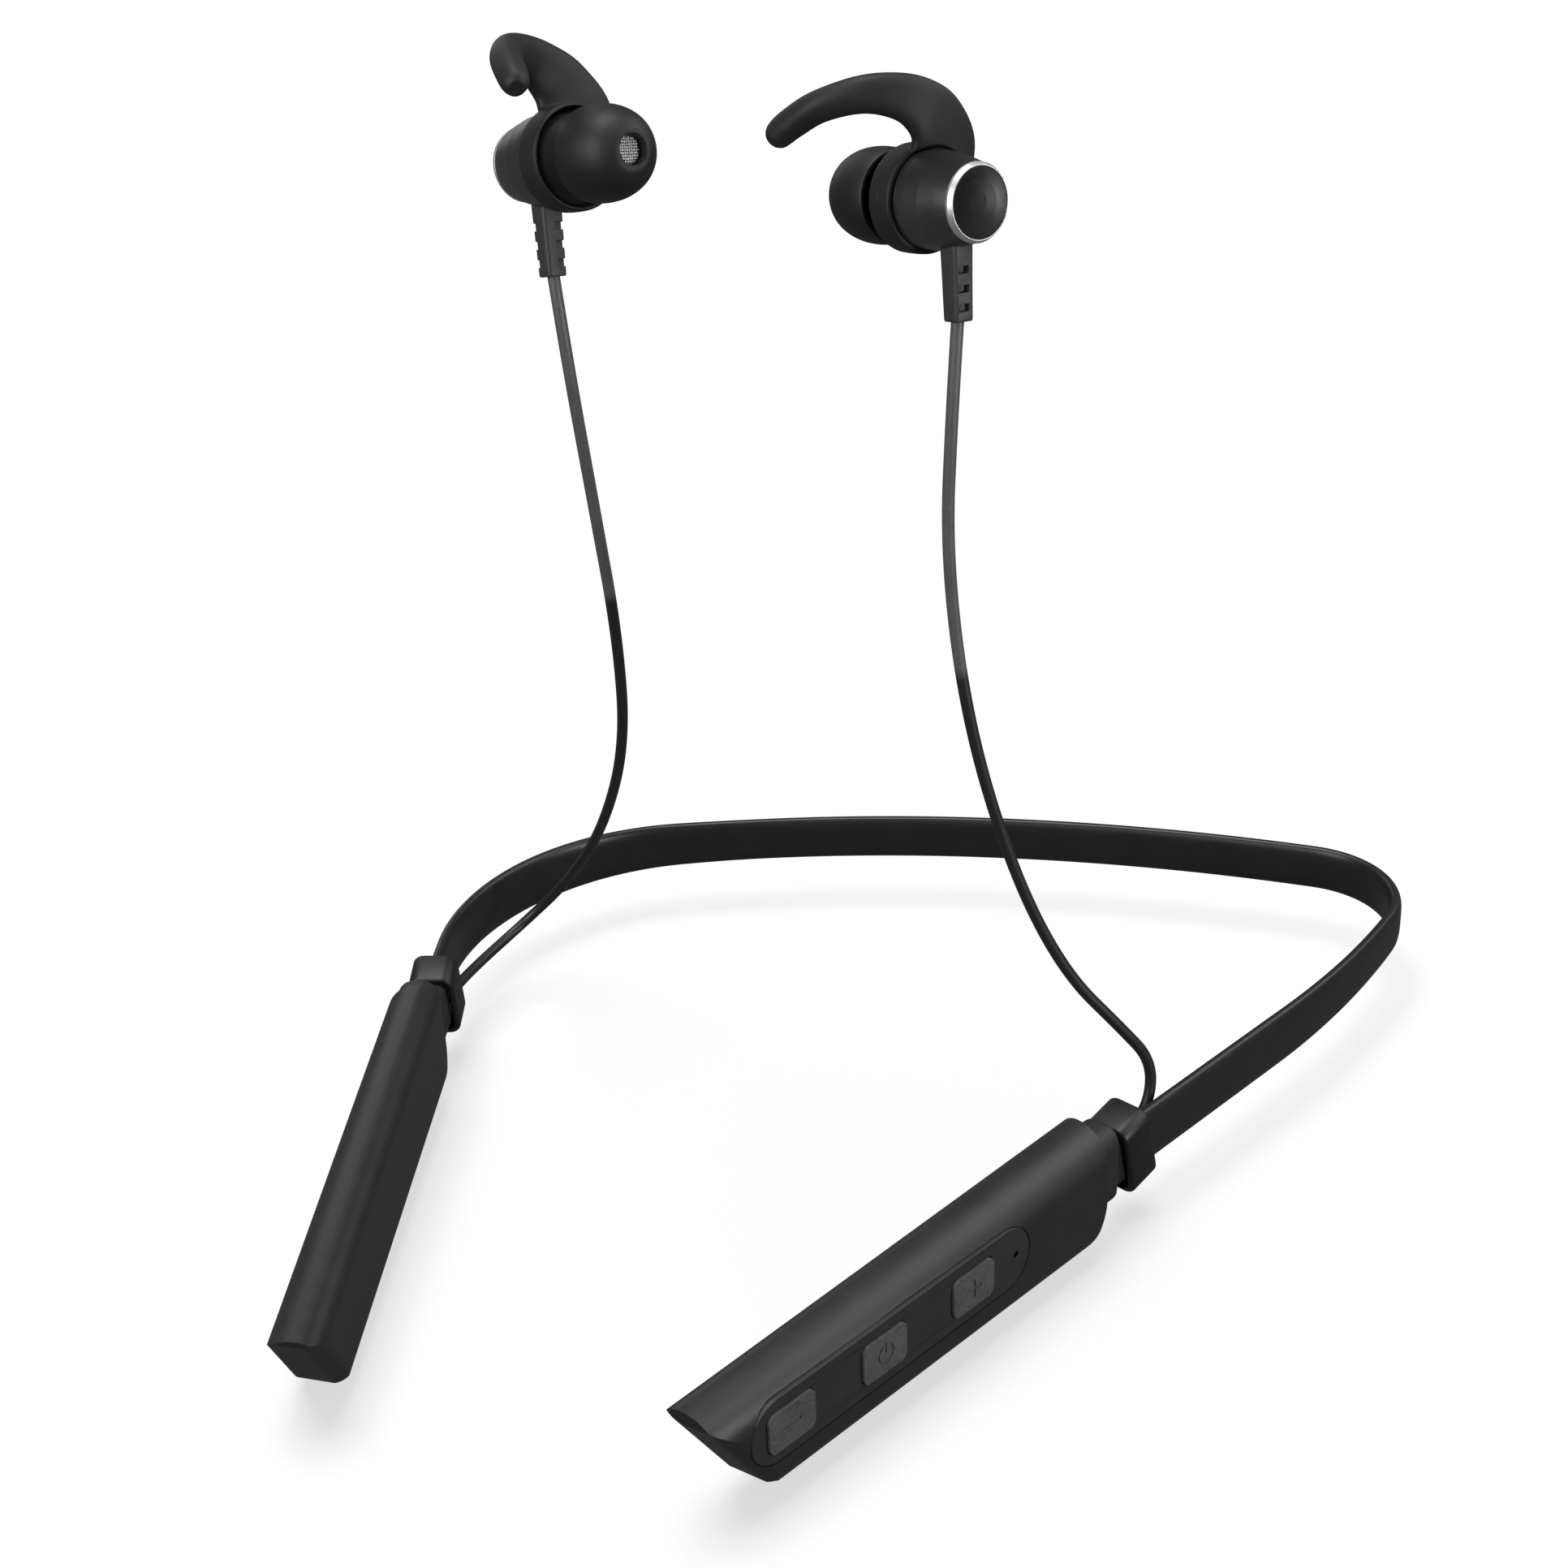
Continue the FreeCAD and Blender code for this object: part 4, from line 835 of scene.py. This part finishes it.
def dress_cad_nodes():
    """Finishes for the CAD nodes whose own shape is shown."""
    for name in SIDE_NAMES.values():
        for part in ("outer_shell", "inner_shell"):
            soften(f"{name}_{part}", HOUSING)
        soften(f"{name}_end_cap", CAP)
        soften(f"{name}_front_shell", FRONT, 0.05)
        for part in ("core", "magnet", "driver"):
            soften(f"{name}_{part}", HIDDEN[part])
    soften("middle_core", HIDDEN["core"])
    soften("button_panel", PANEL, 0.12)
    for sign in ("minus", "power", "plus"):
        soften(f"{sign}_button", BUTTON, 0.28)
    soften("usb_port_cover", BOOT, 0.1)
    for node, material in HIDDEN.items():
        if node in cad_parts:
            soften(node, material)


# ---- stage ---------------------------------------------------------------------------------

FLOOR_Z = -0.0124
FLOOR_HALF = 14.0
FLOOR_GREY = 0.5  # of the part that takes shadows
FLOOR_GLOW = 0.665  # brings the open floor just to white and leaves a faint shadow
WORLD_GREY = 0.12
SUN_POWER = 1.9
SUN_SPREAD = math.radians(40)
SUN_FROM = Vector((-0.16, 0.02, 1.0))
BAND_MIDDLE = (0.0, -0.06, 0.03)
RIGHT_BUD = (0.033, -0.085, 0.139)
SOFTBOXES = (  # name, place, size, power, what it faces
    ("top_right_box", (0.55, 0.3, 0.6), (0.8, 0.6), 3.2, BAND_MIDDLE),
    ("front_box", (-0.25, -0.7, 0.35), (0.5, 0.5), 3.2, BAND_MIDDLE),
    ("left_back_box", (-0.6, 0.4, 0.35), (0.4, 0.4), 0.45, BAND_MIDDLE),
    ("disc_box", (0.46, -0.18, 0.11), (0.14, 0.14), 0.8, RIGHT_BUD),
)


def make_floor():
    """White ground that shows soft shadows and isn't seen in the gloss of the object."""
    data = bmesh.new()
    bmesh.ops.create_grid(data, x_segments=1, y_segments=1, size=FLOOR_HALF)
    mesh = bpy.data.meshes.new("floor")
    data.to_mesh(mesh)
    data.free()
    floor = bpy.data.objects.new("floor", mesh)
    floor.location.z = FLOOR_Z
    bpy.context.scene.collection.objects.link(floor)
    floor.visible_glossy = False
    floor.visible_diffuse = False
    material = bpy.data.materials.new("white_floor")
    material.use_nodes = True
    tree = material.node_tree
    tree.nodes.clear()
    out = tree.nodes.new("ShaderNodeOutputMaterial")
    matte = tree.nodes.new("ShaderNodeBsdfDiffuse")
    matte.inputs["Color"].default_value = (FLOOR_GREY, FLOOR_GREY, FLOOR_GREY, 1)
    glow = tree.nodes.new("ShaderNodeEmission")
    glow.inputs["Strength"].default_value = FLOOR_GLOW
    both = tree.nodes.new("ShaderNodeAddShader")
    tree.links.new(matte.outputs[0], both.inputs[0])
    tree.links.new(glow.outputs[0], both.inputs[1])
    tree.links.new(both.outputs[0], out.inputs["Surface"])
    mesh.materials.append(material)
    return floor


def all_but(name, pieces):
    """A light-linking collection that leaves some pieces out."""
    collection = bpy.data.collections.new(name)
    for piece in pieces:
        collection.objects.link(piece)
    for entry in collection.collection_objects:
        entry.light_linking.link_state = "EXCLUDE"
    return collection


def add_light(light, linking, facing):
    lamp = bpy.data.objects.new(light.name, light)
    lamp.light_linking.receiver_collection = linking
    lamp.rotation_euler = facing.to_track_quat("Z", "Y").to_euler()
    bpy.context.scene.collection.objects.link(lamp)
    return lamp


def make_stage():
    """Ground, surroundings and lights: the sun casts the shadows, and the softboxes light the object only."""
    floor = make_floor()
    world = bpy.data.worlds.new("studio")
    bpy.context.scene.world = world
    world.use_nodes = True
    world.node_tree.nodes["Background"].inputs["Color"].default_value = (1, 1, 1, 1)
    world.node_tree.nodes["Background"].inputs["Strength"].default_value = WORLD_GREY
    shells = [bpy.data.objects[f"{name}_shell_skin"] for name in SIDE_NAMES.values()]
    not_floor = all_but("not_on_the_floor", [floor])
    not_shells = all_but("not_on_the_shells", shells)
    sun = bpy.data.lights.new("key_sun", "SUN")
    sun.energy = SUN_POWER
    sun.angle = SUN_SPREAD
    add_light(sun, not_shells, SUN_FROM)
    for name, location, size, power, target in SOFTBOXES:
        light = bpy.data.lights.new(name, "AREA")
        light.shape = "RECTANGLE"
        light.size, light.size_y = size
        light.energy = power
        lamp = add_light(light, not_floor, Vector(location) - Vector(target))
        lamp.location = location
    bpy.context.scene.view_settings.view_transform = "Standard"
    bpy.context.scene.view_settings.look = "None"


make_camera()
for hand in (RIGHT, LEFT):
    make_cord(hand)
    make_band_skin(hand)
    make_boot(hand)
    make_keeper_ring(hand)
    make_ear_tip(hand)
    make_wing(hand)
    make_metal_parts(hand)
    make_relief(hand)
    make_mesh_screen(hand)
dress_cad_nodes()
make_stage()
